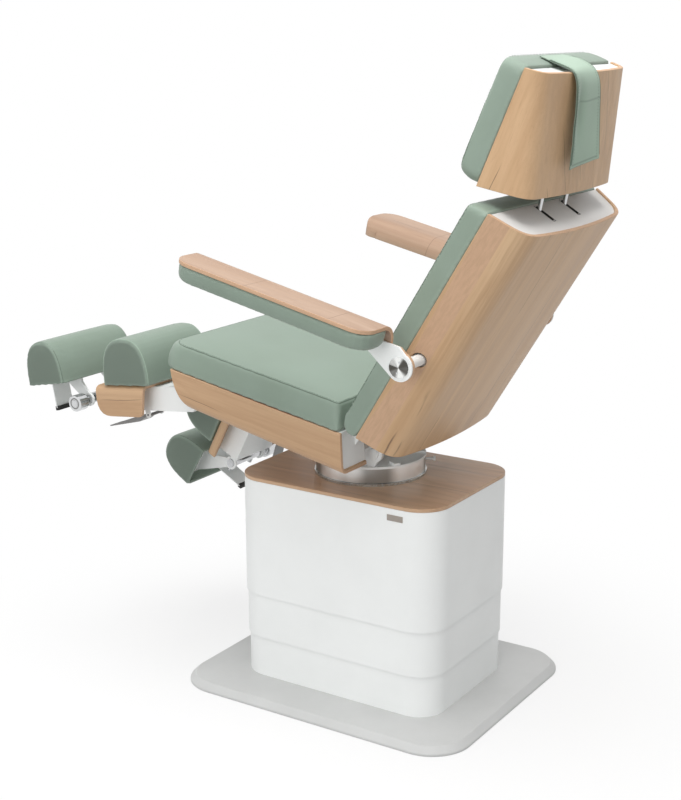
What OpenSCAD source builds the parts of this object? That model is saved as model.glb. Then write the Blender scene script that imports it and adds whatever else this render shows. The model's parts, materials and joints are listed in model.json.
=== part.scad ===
// Podiatry treatment chair: a telescopic base, a turntable, a tilting seat shell, a reclining
// back, two armrests that swing up and two leg rests that fold and telescope one by one.
// X runs across the chair, the sitter faces -Y, Z is up, and the origin is on the floor under
// the middle of the base. The sizes give the chair with one leg rest out and one folded down.

/* [Base] */
// Floor plate across the chair
plate_width = 659; // [600:1:720]
// Floor plate from front to rear
plate_depth = 801; // [740:1:860]
// Height of the floor plate
plate_height = 21; // [18:1:26]
// Upright rim of the floor plate below its bevel
plate_rim = 6; // [4:1:9]
// Width of the bevel round the floor plate
plate_bevel = 15; // [8:1:20]
// Corner radius of the floor plate
plate_corner = 105; // [80:1:130]
// Outer cover across the chair
cover_width = 422; // [400:1:450]
// Outer cover from front to rear
cover_depth = 576; // [550:1:610]
// Corner radius of the outer cover
cover_corner = 78; // [60:1:90]
// Height of each telescopic cover
cover_height = 300; // [280:1:310]
// Sheet of the telescopic covers
cover_sheet = 1.5; // [1:0.1:1.8]
// Play between one telescopic cover and the next
cover_play = 1.9; // [1.5:0.1:2.5]
// Height of the deck's top above the floor
deck_height = 550; // [535:1:570]
// Thickness of the wooden deck
deck_thick = 9; // [7:0.5:12]
// Part of the middle cover that shows below the outer one
mid_show = 115; // [100:1:125]
// Side of the outer tube of the lifting column
column_side = 170; // [150:1:190]
// Wall of the column tubes
column_wall = 8; // [6:0.5:10]
// Length of each column tube
column_length = 285; // [275:1:295]

/* [Turntable] */
// Radius of the ring on the deck
ring_radius = 141; // [130:1:150]
// Height of the ring on the deck
ring_height = 6; // [4:0.5:8]
// Turntable centre behind the middle of the base
turn_y = -12; // [-20:1:0]
// Height of the turning drum
drum_height = 36; // [30:1:40]
// Wall of the turning drum
drum_wall = 4; // [3:0.5:6]
// Radius of the bearing hub
hub_radius = 45; // [38:1:52]
// Thickness of the rim plate on the drum
rim_thick = 6; // [5:0.5:8]
// Middle of each yoke cheek from the centre line
yoke_x = 105; // [98:1:110]
// Thickness of the yoke cheeks
yoke_thick = 10; // [8:0.5:12]
// Radius of the seat pivot pins
seat_pin = 8; // [6:0.5:10]

/* [Seat] */
// Height of the seat wall's rear top corner above the floor
seat_z = 722; // [715:1:730]
// Place of the seat wall's rear top corner behind the middle
seat_y = 75; // [70:1:80]
// Rise of the seat towards the front, degrees
seat_angle = 10.3; // [9:0.1:11.5]
// Half width of the wooden seat trough
seat_half = 275; // [268:1:280]
// Length of the trough along its top edge
seat_length = 507; // [490:1:520]
// Depth of the trough at the rear
seat_deep = 97; // [94:1:104]
// Depth of the trough at the front
seat_shallow = 85; // [80:1:88]
// Thickness of the bent plywood
ply = 9; // [7:0.5:10]
// Bend radius of the trough
seat_bend = 24; // [18:1:30]
// Height of the seat cushion's side band
seat_pad_height = 56; // [50:1:62]
// Crown of the seat cushion above its side band
seat_crown = 9; // [5:1:14]
// Overhang of the seat cushion past the front of the trough
seat_overhang = 36; // [28:1:42]

/* [Back] */
// Lean of the back behind upright, degrees
back_angle = 31.5; // [29:0.5:33]
// Length of the back shell
back_length = 624; // [600:1:640]
// Half width of the back shell at its front edge
back_half = 283; // [280:1:290]
// Half width of the back shell at its rear corners
back_rear_half = 250; // [244:1:256]
// Depth of the back shell at its side walls
back_deep = 92; // [84:1:98]
// Bow of the rear panel
back_bow = 15; // [8:1:22]
// Bend radius of the back shell
back_bend = 44; // [34:1:54]
// Thickness of the back cushion
back_pad_thick = 56; // [52:1:60]
// Crown of the back cushion
back_crown = 3; // [2:1:8]
// Radius of the back hinge pins
back_pin = 8; // [6:0.5:9]

/* [Headrest] */
// Lean of the headrest's face behind upright, degrees
head_angle = 22.2; // [20:0.2:24]
// Length of the headrest shell's front edge
head_length = 264; // [250:1:280]
// Half width of the headrest shell at its lower front corner
head_half = 238; // [230:1:246]
// Depth of the headrest shell at the bottom
head_deep = 115; // [106:1:122]
// Depth of the headrest shell at the top
head_shallow = 40; // [34:1:48]
// Thickness of the headrest cushion
head_pad_thick = 58; // [52:1:64]
// Radius of the headrest rods
rod_radius = 5; // [4:0.5:6]
// Rods from the centre line
rod_x = 65; // [58:1:72]
// Length of the slots that the rods pass through
slot_length = 60; // [56:1:64]
// Width of the hanging headrest strap
strap_width = 112; // [100:1:124]
// Middle of the strap from the centre line
strap_x = 42; // [30:1:60]
// Thickness of the strap
strap_thick = 3; // [2:0.5:4]

/* [Armrests] */
// Height of the armrest pivots above the floor
arm_z = 921; // [916:1:926]
// Place of the armrest pivots behind the middle
arm_y = 280; // [276:1:284]
// Rise of the armrests towards the front, degrees
arm_angle = 12.8; // [11:0.2:14]
// Inner face of each armrest from the centre line
arm_inner = 341; // [336:1:346]
// Width of each armrest
arm_width = 130; // [120:1:138]
// Length of each armrest ahead of its pivot
arm_length = 558; // [545:1:575]
// Height of the armrest's top above its pivot
arm_rise = 88; // [84:1:94]
// Height of the armrest pad below its wooden top
arm_pad_height = 40; // [34:1:44]
// Thickness of the armrest brackets
arm_sheet = 5; // [4:0.5:6]
// Radius of the armrest stub shafts
stub_radius = 13; // [11:0.5:15]

/* [Leg rests] */
// Height of the leg rest pivots above the floor
leg_z = 747; // [743:1:750]
// Place of the leg rest pivots, ahead of the middle when negative
leg_y = -404; // [-408:1:-400]
// Droop of the left leg rest, degrees
leg_angle_left = 6.5; // [0:0.5:12]
// Droop of the right leg rest, degrees
leg_angle_right = 63; // [58:0.5:64]
// Inner side of each leg rest from the centre line
leg_inner = 12; // [10:1:16]
// Outer side of each leg rest from the centre line
leg_outer = 270; // [264:1:274]
// Length of the calf pad
calf_length = 152; // [144:1:160]
// Start of the calf pad ahead of the pivot
calf_start = 95; // [90:1:100]
// Height of the calf pad
calf_height = 122; // [112:1:126]
// Length of the wooden calf board
board_length = 163; // [155:1:168]
// Depth of the calf board's side walls
board_deep = 80; // [74:1:84]
// Length of the foot pad
foot_length = 127; // [120:1:134]
// Height of the foot pad
foot_height = 116; // [108:1:122]
// Start of the left foot pad ahead of the pivot
foot_start_left = 354; // [348:1:362]
// Start of the right foot pad ahead of the pivot
foot_start_right = 284; // [282:1:290]
// Outer side of each foot pad from the centre line
foot_outer = 300; // [292:1:306]
// Radius of the foot rest rails
rail_radius = 7; // [5:0.5:8]

/* [Hidden] */

$fn = 48;
// Overrun of every cut past the face that it opens
over = 2;
// Gap at a seat between pieces that lie against each other
seat_gap = 0.3;
// Radial play of a pin in its bore
pin_play = 0.05;

wood_color = "#cfa679";
deck_color = "#8f6f57";
green_color = "#8fac98";
white_color = "#eceeed";
grey_color = "#b9babc";
steel_color = "#c9cbcd";
black_color = "#2a2a2b";

// Base, derived
mid_inset = cover_sheet + cover_play;
cover_top = deck_height - deck_thick;
outer_bottom = cover_top - cover_height;
mid_bottom = outer_bottom - mid_show;
inner_top = plate_height + cover_height - deck_thick;
flange_thick = 8;
column_step = column_wall + seat_gap;
mid_tube_top = mid_bottom + cover_height;
inner_tube_bottom = cover_top - column_length;

// Turntable, derived
drum_bottom = deck_height + ring_height + seat_gap;
rim_bottom = drum_bottom + drum_height;
rim_top = rim_bottom + rim_thick;
drum_radius = ring_radius - drum_wall;
hub_top = rim_bottom - drum_wall;
lug_count = 6;
lug_width = 18;
lug_length = 24;
lug_height = 5;
cheek_boss = 22;
cheek_front = 80;
bolt_head = 13;
bolt_thick = 4;
handle_radius = 4;
handle_reach = 26;
handle_grip = 6;
handle_drop = 14;
handle_turn = 123;

// Seat, derived: the seat frame's own y and z start at the rear top corner of the trough
seat_pivot_y = 66;
seat_pivot_z = 632;
back_pivot_y = 103.5;
back_pivot_z = 746;
seat_rear_slant = 23;
seat_front_back = 81;
seat_front_bulge = 22;
seat_slope = atan((seat_deep - seat_shallow) / (seat_length - seat_front_back + seat_rear_slant));
seat_bulge_share = 0.82;
leg_notch_half = 245;
leg_notch_length = 137;
yoke_notch_half = 165;
yoke_notch_length = 110;
tray_thick = 4;
tray_front = 7;
tray_rear = 3;
frame_thick = 8;
frame_side = 228;
frame_mid = 54;
frame_deep = 50;
frame_rear = 70;
cross_front = 92;
end_inset = 5;
lug_run = 60;
lug_thick = 10;
leg_pin = 10;
leg_boss = 20;
ear_x = 200;
ear_boss = 16;
ear_thick = 8;
ear_play = 3;
hinge_width = 17;
lug_gap = 1;
seat_side_lean = 14;
seat_end_lean = 20;
seat_pad_corner = 45;
seat_rear_corner = 10;
seat_rear_share = 0.7;

// Levels of a cushion: share of its height, of its side lean and of its end lean
side_shares = [[0, 0.12, 0.5], [0.12, 0, 0.1], [0.5, 0.3, 0], [0.85, 0.75, 0.35], [1, 1, 1]];
// Levels of a crown: share of the half width that it draws in, and share of its height
crown_shares = [[0.03, 0.2], [0.12, 0.5], [0.4, 0.88], [0.75, 1]];

// Back, derived
back_foot = [122, 722];
nose_radius = back_pad_thick / 2;
cap_recess = 4;
cap_thick = 5;
slot_width = rod_radius * 2 + pin_play * 4;
slot_start = 1.5;
plate_back = 6;
plate_bottom = 20;
stub_boss = 20;
stub_length = 70;
stub_wall_room = 29;
stub_room = 4;
nose_skin = 4;
back_side_lean = 14;
back_top_lean = 14;
back_pad_corner = 14;

// Headrest, derived
head_foot = [395, 1304];
head_splay_share = 0.16;
head_bow = 12;
head_bend = 36;
head_bottom_rise = 19;
head_top_rise = 4;
head_crown = 8;
head_crown_reach = 150;
head_side_lean = 10;
head_end_lean = 12;
head_roll = 5;
head_pad_corner = 24;
head_plate_low = 24;
head_plate_high = 236;
head_rib = 6;
rib_reach = 66;
rib_places = [45, 104];
rod_lean = 11;
rod_pivot_y = 60;
rod_pivot_depth = 111;
rod_top = 240;
rod_cross = 8;
socket_start = 192;
socket_length = 78;
socket_wall = 4;
strap_front = 26;
strap_start = 34;
strap_drop = 190;
strap_bow = 22;

// Armrests, derived
arm_disc_radius = 23;
arm_disc_thick = 4;
arm_outer = arm_inner + arm_width;
arm_lobe = 32;
arm_bend = 47;
arm_corner = 44;
arm_inner_corner = 28;
arm_rear = 34;
arm_root = 128;
arm_root_rear = 10;
arm_pad_lean = 8;
arm_pad_inset = 2;
arm_corner_share = 0.7;
arm_shares = [[0, 0.12], [0.12, 0], [0.6, 0.05], [0.85, 0.35], [1, 1]];

// Where the edges of the armrest's lower end meet the round lobe, as shares of its radius
lobe_rear_share = [0.82, 0.57];
lobe_front_share = [-0.5, -0.86];
pin_hole_radius = 2.5;
pin_hole_spread = 12;

// Leg rests, derived
leg_sheet = 3;
channel_inner = 60;
channel_outer = 222;
channel_top = 11;
channel_deep = 64;
channel_tail = 24;
channel_length = 272;
board_set = 18;
board_start = calf_start + board_set;
board_slant = 12;
board_round = 16;
board_end_round = 44;
board_lip = 30;
board_bend = 20;
lever_x = 172;
lever_width = 46;
lever_start = 150;
lever_reach = 140;
lever_drop = 32;
lever_pivot_drop = 12;
lever_boss = 8;
lever_pin = 3;
rail_gap = 45;
rail_drop = 26;
rail_start = 150;
rail_ahead = 34;
carrier_thick = 20;
roll_share = 0.75;
roll_end_shares = [[0, 0.93], [0.02, 0.985], [0.06, 1], [0.94, 1], [0.98, 0.985], [1, 0.93]];
foot_rise = 28;
foot_hollow = 30;
foot_skin = 8;
foot_flange = 76;
// Distance of the flange's inner end from the centre line
flange_inner = 160; // [130:1:170]
bumper_height = 12;
bumper_grip = 5;
bumper_thick = 11;
knob_radius = 22;
knob_thick = 32;
knob_neck = 10;
knob_grip = 9;
knob_pin = 5;
clamp_radius = 12;
clamp_drop = 33;
clamp_ahead = 14;
clamp_inner = 70;
clamp_outer = 215;
foot_tilt_left = 4;
foot_tilt_right = -3;

// Points along a quadratic curve from a to c that bends towards b
function bend(a, b, c, steps) = [for (i = [0 : steps]) let (t = i / steps)
    (1 - t) * (1 - t) * a + 2 * t * (1 - t) * b + t * t * c];

// Unit vector
function unit(v) = v / norm(v);

// Outline of a bent sheet's outer face: two splayed walls and a bowed web between them
function trough_path(front, rear, deep, bow, radius) =
    let (
        corner = [rear, deep],
        wall = unit([front - rear, -deep]),
        near = corner + wall * radius,
        far = [rear - radius, deep + bow * (1 - pow((rear - radius) / rear, 2))],
        half = concat(
            [[front, 0]],
            bend(near, corner, far, 6),
            [for (i = [1 : 5]) let (x = (rear - radius) * (1 - i / 6))
                [x, deep + bow * (1 - pow(x / rear, 2))]]
        )
    )
    concat(half, [[0, deep + bow]], [for (i = [len(half) - 1 : -1 : 0]) [-half[i][0], half[i][1]]]);

// The same path moved inwards by the thickness of the sheet
function inset_path(path, thick) = [for (i = [0 : len(path) - 1])
    let (
        before = path[max(i - 1, 0)],
        after = path[min(i + 1, len(path) - 1)],
        run = unit(after - before)
    )
    path[i] + thick * [-run[1], run[0]]];

// The inner face of a bent sheet, whose ends lie level with those of the outer face
function inner_path(path, thick) =
    let (last = len(path) - 1, inset = inset_path(path, thick))
    [for (i = [0 : last])
        i == 0 ? [path[0][0] - thick / unit(path[1] - path[0])[1], path[0][1]]
        : i == last ? [path[i][0] - thick / unit(path[i] - path[i - 1])[1], path[i][1]]
        : inset[i]];

function reversed(list) = [for (i = [len(list) - 1 : -1 : 0]) list[i]];

module sheet_outline(path, thick) {
    polygon(concat(path, reversed(inner_path(path, thick))));
}

// A slab with round corners
module round_slab(width, depth, height, radius) {
    for (x = [-1, 1], y = [-1, 1])
        translate([x * (width / 2 - radius), y * (depth / 2 - radius), 0])
            cylinder(h = height, r = radius, $fn = 96);
    translate([-width / 2 + radius, -depth / 2, 0])
        cube([width - 2 * radius, depth, height]);
    translate([-width / 2, -depth / 2 + radius, 0])
        cube([width, depth - 2 * radius, height]);
}

// A slab with round corners whose sides lean in by the bevel
module bevel_slab(width, depth, height, radius, bevel) {
    for (x = [-1, 1], y = [-1, 1])
        translate([x * (width / 2 - radius), y * (depth / 2 - radius), 0])
            cylinder(h = height, r1 = radius, r2 = radius - bevel, $fn = 96);
    wedge_block(width - 2 * radius, depth, height, bevel);
    rotate([0, 0, 90])
        wedge_block(depth - 2 * radius, width, height, bevel);
}

module wedge_block(width, depth, height, bevel) {
    side_plate(-width / 2, width)
        polygon([[-depth / 2, 0], [depth / 2, 0], [depth / 2 - bevel, height], [-depth / 2 + bevel, height]]);
}

// A plate whose outline lies in Y and Z and which starts at x and is thick along X
module side_plate(x, thick) {
    translate([x, 0, 0])
        rotate([90, 0, 90])
            linear_extrude(thick)
                children();
}

// A tube of round-cornered sheet
module cover_tube(inset, bottom, height) {
    translate([0, 0, bottom])
        difference() {
            round_slab(cover_width - 2 * inset, cover_depth - 2 * inset, height, cover_corner - inset);
            translate([0, 0, -over])
                round_slab(cover_width - 2 * inset - 2 * cover_sheet,
                    cover_depth - 2 * inset - 2 * cover_sheet,
                    height + 2 * over, cover_corner - inset - cover_sheet);
        }
}

// A square tube of the lifting column
module column_tube(side, bottom, length) {
    translate([0, 0, bottom + length / 2])
        difference() {
            cube([side, side, length], center = true);
            cube([side - 2 * column_wall, side - 2 * column_wall, length + 2 * over], center = true);
        }
}

// Frames of the moving groups
module at_seat() {
    translate([0, seat_y, seat_z])
        rotate([-seat_angle, 0, 0])
            children();
}

module at_back() {
    translate([0, back_foot[0], back_foot[1]])
        rotate([-back_angle, 0, 0])
            children();
}

module at_head() {
    translate([0, head_foot[0], head_foot[1]])
        rotate([-head_angle, 0, 0])
            children();
}

module at_arm(side) {
    mirror([side < 0 ? 1 : 0, 0, 0])
        translate([0, arm_y, arm_z])
            rotate([-arm_angle, 0, 0])
                children();
}

module at_leg(side) {
    mirror([side < 0 ? 1 : 0, 0, 0])
        translate([0, leg_y, leg_z])
            rotate([side < 0 ? leg_angle_right : leg_angle_left, 0, 0])
                children();
}

// The same piece on both sides of the centre line
module both_sides() {
    children();
    mirror([1, 0, 0])
        children();
}

// Points in the seat's own frame
function to_seat(y, z) = [
    (y - seat_y) * cos(seat_angle) - (z - seat_z) * sin(seat_angle),
    (y - seat_y) * sin(seat_angle) + (z - seat_z) * cos(seat_angle)
];

// Points in the back's own frame
function to_back(y, z) = [
    (y - back_foot[0]) * cos(back_angle) - (z - back_foot[1]) * sin(back_angle),
    (y - back_foot[0]) * sin(back_angle) + (z - back_foot[1]) * cos(back_angle)
];

seat_pivot = to_seat(seat_pivot_y, seat_pivot_z);
back_hinge = to_seat(back_pivot_y, back_pivot_z);
leg_pivot = to_seat(leg_y, leg_z);
hinge_in_back = to_back(back_pivot_y, back_pivot_z);
arm_in_back = to_back(arm_y, arm_z);

// One ring of a padded block at height z: a block outline with round corners that is
// halves[0] wide each way at y = low and halves[1] at y = high, with the like corner radii
function pad_ring(halves, low, high, z, radii) = [
    for (corner = [0 : 3], i = [0 : 4])
        let (
            angle = corner * 90 + i * 22.5,
            half = halves[corner < 2 ? 1 : 0],
            radius = radii[corner < 2 ? 1 : 0],
            x = corner == 0 || corner == 3 ? half - radius : radius - half,
            y = corner < 2 ? high - radius : low + radius
        )
        [x + radius * cos(angle), y + radius * sin(angle), z]
];

// A closed block through a stack of rings with equal counts of points
module ring_stack(rings) {
    count = len(rings[0]);
    levels = len(rings);
    polyhedron(
        points = [for (ring = rings) each ring],
        faces = concat(
            [[for (i = [0 : count - 1]) i]],
            [for (level = [0 : levels - 2], i = [0 : count - 1])
                [level * count + i, (level + 1) * count + i, (level + 1) * count + (i + 1) % count]],
            [for (level = [0 : levels - 2], i = [0 : count - 1])
                [level * count + i, (level + 1) * count + (i + 1) % count, level * count + (i + 1) % count]],
            [[for (i = [count - 1 : -1 : 0]) (levels - 1) * count + i]]
        )
    );
}

// Base
module floor_plate() {
    color(white_color) {
        round_slab(plate_width, plate_depth, plate_rim, plate_corner);
        translate([0, 0, plate_rim])
            bevel_slab(plate_width, plate_depth, plate_height - plate_rim, plate_corner, plate_bevel);
    }
}

module cover_inner() {
    color(white_color)
        cover_tube(2 * mid_inset, plate_height, inner_top - plate_height);
}

module column_outer() {
    color(grey_color)
        column_tube(column_side, plate_height, column_length);
}

module cover_mid() {
    color(white_color)
        cover_tube(mid_inset, mid_bottom, cover_height);
}

module column_mid() {
    tube_side = column_side - 2 * column_step;
    flange_inset = mid_inset + cover_sheet;
    color(grey_color) {
        column_tube(tube_side, mid_tube_top - column_length, column_length);
        translate([0, 0, mid_tube_top - flange_thick])
            difference() {
                round_slab(cover_width - 2 * flange_inset, cover_depth - 2 * flange_inset,
                    flange_thick, cover_corner - flange_inset);
                translate([0, 0, flange_thick / 2])
                    cube([tube_side - column_wall, tube_side - column_wall, flange_thick + 2 * over],
                        center = true);
            }
    }
}

module cover_outer() {
    color(white_color)
        cover_tube(0, outer_bottom, cover_height);
}

module deck() {
    color(deck_color)
        translate([0, 0, cover_top])
            round_slab(cover_width, cover_depth, deck_thick, cover_corner);
}

module column_inner() {
    color(grey_color)
        column_tube(column_side - 4 * column_step, inner_tube_bottom, column_length);
}

// Turntable
module turn_ring() {
    color(steel_color)
        translate([0, turn_y, deck_height]) {
            cylinder(h = ring_height, r = ring_radius, $fn = 96);
            cylinder(h = hub_top - deck_height, r = hub_radius, $fn = 96);
        }
}

module turn_drum() {
    color(steel_color)
        difference() {
            translate([0, turn_y, drum_bottom])
                rotate_extrude($fn = 96)
                    polygon([
                        [drum_radius - drum_wall, 0], [drum_radius, 0],
                        [drum_radius, drum_height], [hub_radius + pin_play, drum_height],
                        [hub_radius + pin_play, drum_height - 2 * drum_wall],
                        [drum_radius - drum_wall, drum_height - 2 * drum_wall]
                    ]);
            at_handle()
                translate([0, 0, drum_radius - 2 * drum_wall])
                    cylinder(h = 4 * drum_wall, r = handle_radius + pin_play);
        }
}

// The locking handle runs outwards through the wall of the drum
module at_handle() {
    translate([0, turn_y, rim_bottom - handle_drop])
        rotate([0, 90, handle_turn])
            children();
}

module turn_plate() {
    color(white_color)
        translate([0, turn_y, rim_bottom]) {
            cylinder(h = rim_thick, r = drum_radius + drum_wall / 2, $fn = 96);
            for (i = [0 : lug_count - 1])
                rotate([0, 0, i * 360 / lug_count])
                    translate([drum_radius - lug_length, -lug_width / 2, rim_thick])
                        cube([lug_length, lug_width, lug_height]);
        }
}

// The cheek's base runs from its front edge to just inside the rim of the turntable
module cheek_outline() {
    difference() {
        union() {
            translate([seat_pivot_y, seat_pivot_z])
                circle(r = cheek_boss);
            polygon([
                [seat_pivot_y - cheek_boss - cheek_front, rim_top],
                [seat_pivot_y, rim_top],
                [seat_pivot_y + cheek_boss, seat_pivot_z],
                [seat_pivot_y, seat_pivot_z + cheek_boss],
                [seat_pivot_y - cheek_front / 2, seat_pivot_z]
            ]);
        }
        translate([seat_pivot_y, seat_pivot_z])
            circle(r = seat_pin);
    }
}

module yoke() {
    color(white_color)
        both_sides()
            side_plate(yoke_x - yoke_thick / 2, yoke_thick)
                cheek_outline();
    color(steel_color)
        both_sides()
            translate([0, seat_pivot_y, seat_pivot_z])
                rotate([0, 90, 0]) {
                    translate([0, 0, yoke_x - yoke_thick / 2 - lug_gap - lug_thick])
                        cylinder(h = lug_thick + lug_gap + yoke_thick, r = seat_pin);
                    translate([0, 0, yoke_x + yoke_thick / 2])
                        cylinder(h = bolt_thick, r = bolt_head);
                }
}

module lock_handle() {
    color(white_color)
        at_handle() {
            translate([0, 0, drum_radius - drum_wall - handle_grip])
                cylinder(h = drum_wall + handle_grip + handle_reach, r = handle_radius);
            translate([0, 0, drum_radius + handle_reach - handle_grip])
                cylinder(h = handle_grip, r = handle_grip);
        }
}

// Seat: a bent sheet along the seat, cut to the side outline of the trough
module seat_side_outline() {
    front = bend(
        [-seat_length, 0],
        [-seat_length + seat_front_bulge, -seat_shallow * seat_bulge_share],
        [-seat_length + seat_front_back, -seat_shallow - over],
        8
    );
    polygon(concat(
        [[0, 0]],
        front,
        [[-seat_length + seat_front_back, -seat_deep - over], [seat_rear_slant, -seat_deep - over]]
    ));
}

// The space inside or the sheet of the trough, run along its sloping bottom
module along_seat() {
    rotate([-seat_slope, 0, 0])
        translate([0, -seat_length, seat_rear_slant])
            rotate([-90, 0, 0])
                linear_extrude(seat_length + 2 * seat_rear_slant)
                    children();
}

seat_path = trough_path(seat_half, seat_half, seat_deep + seat_rear_slant, 0, seat_bend);

module seat_shell() {
    color(wood_color)
        at_seat()
            difference() {
                intersection() {
                    along_seat()
                        sheet_outline(seat_path, ply);
                    side_plate(-seat_half, 2 * seat_half)
                        seat_side_outline();
                }
                translate([-leg_notch_half, -seat_length, -seat_deep - over])
                    cube([2 * leg_notch_half, leg_notch_length, seat_deep]);
                translate([-yoke_notch_half, -yoke_notch_length, -seat_deep - over])
                    cube([2 * yoke_notch_half, yoke_notch_length + 2 * seat_rear_slant, seat_deep]);
            }
}

module boss_plate(x, thick, centre, boss, bore, outline) {
    side_plate(x, thick)
        difference() {
            union() {
                translate(centre)
                    circle(r = boss);
                polygon(outline);
            }
            translate(centre)
                circle(r = bore);
        }
}

module frame_rail(x, rear) {
    boss_plate(x - frame_thick / 2, frame_thick, leg_pivot, leg_boss, leg_pin + pin_play, [
        [leg_pivot[0] - leg_boss, leg_pivot[1]], [leg_pivot[0], leg_pivot[1] - leg_boss],
        [rear, -frame_deep], [rear, -tray_thick], [leg_pivot[0] - leg_boss / 2, -tray_thick]
    ]);
}

module seat_frame() {
    color(white_color)
        at_seat() {
            translate([-seat_half + ply, -seat_length + tray_front, -tray_thick])
                cube([2 * (seat_half - ply), seat_length - tray_front - tray_rear, tray_thick]);
            both_sides() {
                frame_rail(frame_side, -frame_rear);
                frame_rail(frame_mid, -seat_length + leg_notch_length);
                boss_plate(yoke_x - yoke_thick / 2 - lug_gap - lug_thick, lug_thick, seat_pivot,
                    ear_boss, seat_pin + pin_play, [
                        [seat_pivot[0] + ear_boss, seat_pivot[1]], [-tray_rear, -tray_thick],
                        [-lug_run, -tray_thick], [seat_pivot[0] - ear_boss, seat_pivot[1]]
                    ]);
                boss_plate(ear_x - ear_thick / 2, ear_thick, back_hinge, ear_boss, back_pin + pin_play, [
                    [back_hinge[0] + ear_boss, back_hinge[1]],
                    [-tray_rear, -lug_run], [-lug_run, -tray_thick], [-tray_rear, -tray_thick],
                    [back_hinge[0] - ear_boss, back_hinge[1]]
                ]);
                end_plate();
            }
            translate([-frame_side, -seat_length + cross_front, -frame_deep])
                cube([2 * frame_side, frame_thick, frame_deep - tray_thick / 2]);
        }
}

// Closing plate between the trough's side wall and the opening for the yoke
module end_plate() {
    intersection() {
        along_seat()
            polygon(inner_path(seat_path, ply));
        side_plate(yoke_notch_half, seat_half - yoke_notch_half)
            polygon([
                [-end_inset - tray_thick, -tray_thick / 2], [-end_inset, -tray_thick / 2],
                [seat_rear_slant - end_inset, -seat_deep],
                [seat_rear_slant - end_inset - tray_thick, -seat_deep]
            ]);
    }
}

module seat_cushion() {
    front = -seat_length - seat_overhang;
    rear_lean = nose_radius * seat_rear_share;
    side = seat_half - seat_side_lean;
    rear = -tray_rear - rear_lean;
    seat_corners = [seat_pad_corner, seat_rear_corner];
    color(green_color)
        at_seat()
            translate([0, 0, seat_gap])
                ring_stack(concat(
                    [for (level = side_shares) let (half = seat_half - level[1] * seat_side_lean)
                        pad_ring(
                            [half, half], front + level[2] * seat_end_lean,
                            -tray_rear - rear_lean * level[0],
                            level[0] * seat_pad_height, seat_corners
                        )],
                    [for (level = crown_shares) let (inset = level[0] * seat_half)
                        pad_ring(
                            [side - inset, side - inset], front + seat_end_lean + inset, rear - inset,
                            seat_pad_height + level[1] * seat_crown, seat_corners * (1 - level[0])
                        )]
                ));
}

module leg_shaft() {
    color(steel_color)
        at_seat()
            translate([-frame_side - frame_thick, leg_pivot[0], leg_pivot[1]])
                rotate([0, 90, 0])
                    cylinder(h = 2 * (frame_side + frame_thick), r = leg_pin);
}

// Back
back_path = trough_path(back_half, back_rear_half, back_deep, back_bow, back_bend);

module back_shell() {
    color(wood_color)
        at_back()
            difference() {
                linear_extrude(back_length)
                    sheet_outline(back_path, ply);
                for (x = [-1, 1])
                    translate([x * back_half, arm_in_back[0], arm_in_back[1]])
                        rotate([0, 90, 0])
                            cylinder(h = 8 * ply, r = stub_radius + stub_room, center = true);
            }
}

module back_cushion() {
    color(green_color)
        at_back()
            difference() {
                translate([0, -seat_gap, 0])
                    rotate([90, 0, 0])
                        back_pad();
                both_sides()
                    translate([ear_x - ear_thick / 2 - ear_play, -back_pad_thick + nose_skin,
                        hinge_in_back[1] - 2 * nose_radius])
                        cube([hinge_width + 2 * ear_play, back_pad_thick, 2 * nose_radius + ear_boss + ear_play]);
            }
}

// The lower end is rounded about the hinge, so that it turns beside the seat cushion
module back_pad() {
    corners = [back_pad_corner, back_pad_corner];
    side = back_half - back_side_lean;
    round_low = [for (i = [0 : 4]) let (angle = -90 + i * 45)
        [nose_radius * (1 + sin(angle)), hinge_in_back[1] - nose_radius * cos(angle)]];
    ring_stack(concat(
        [for (i = [0 : 4])
            let (z = round_low[i][0], share = z / back_pad_thick, half = back_half - share * back_side_lean)
            pad_ring(
                [half, half], round_low[i][1], back_length - back_top_lean * pow(share, 2), z, corners
            )],
        [for (level = crown_shares) let (inset = level[0] * back_half)
            pad_ring(
                [side - inset, side - inset],
                hinge_in_back[1] + inset, back_length - back_top_lean - inset,
                back_pad_thick + level[1] * back_crown, corners * (1 - level[0])
            )]
    ));
}

module back_cap() {
    color(grey_color)
        at_back()
            translate([0, 0, back_length - cap_recess - cap_thick])
                linear_extrude(cap_thick)
                    difference() {
                        polygon(inner_path(back_path, ply));
                        for (x = [-rod_x, rod_x])
                            translate([x, slot_start + slot_width / 2]) {
                                translate([-slot_width / 2, 0])
                                    square([slot_width, slot_length - slot_width]);
                                for (y = [0, slot_length - slot_width])
                                    translate([0, y])
                                        circle(r = slot_width / 2);
                            }
                    }
}

rod_pivot = [rod_pivot_y, back_length - cap_recess - rod_pivot_depth];

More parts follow.
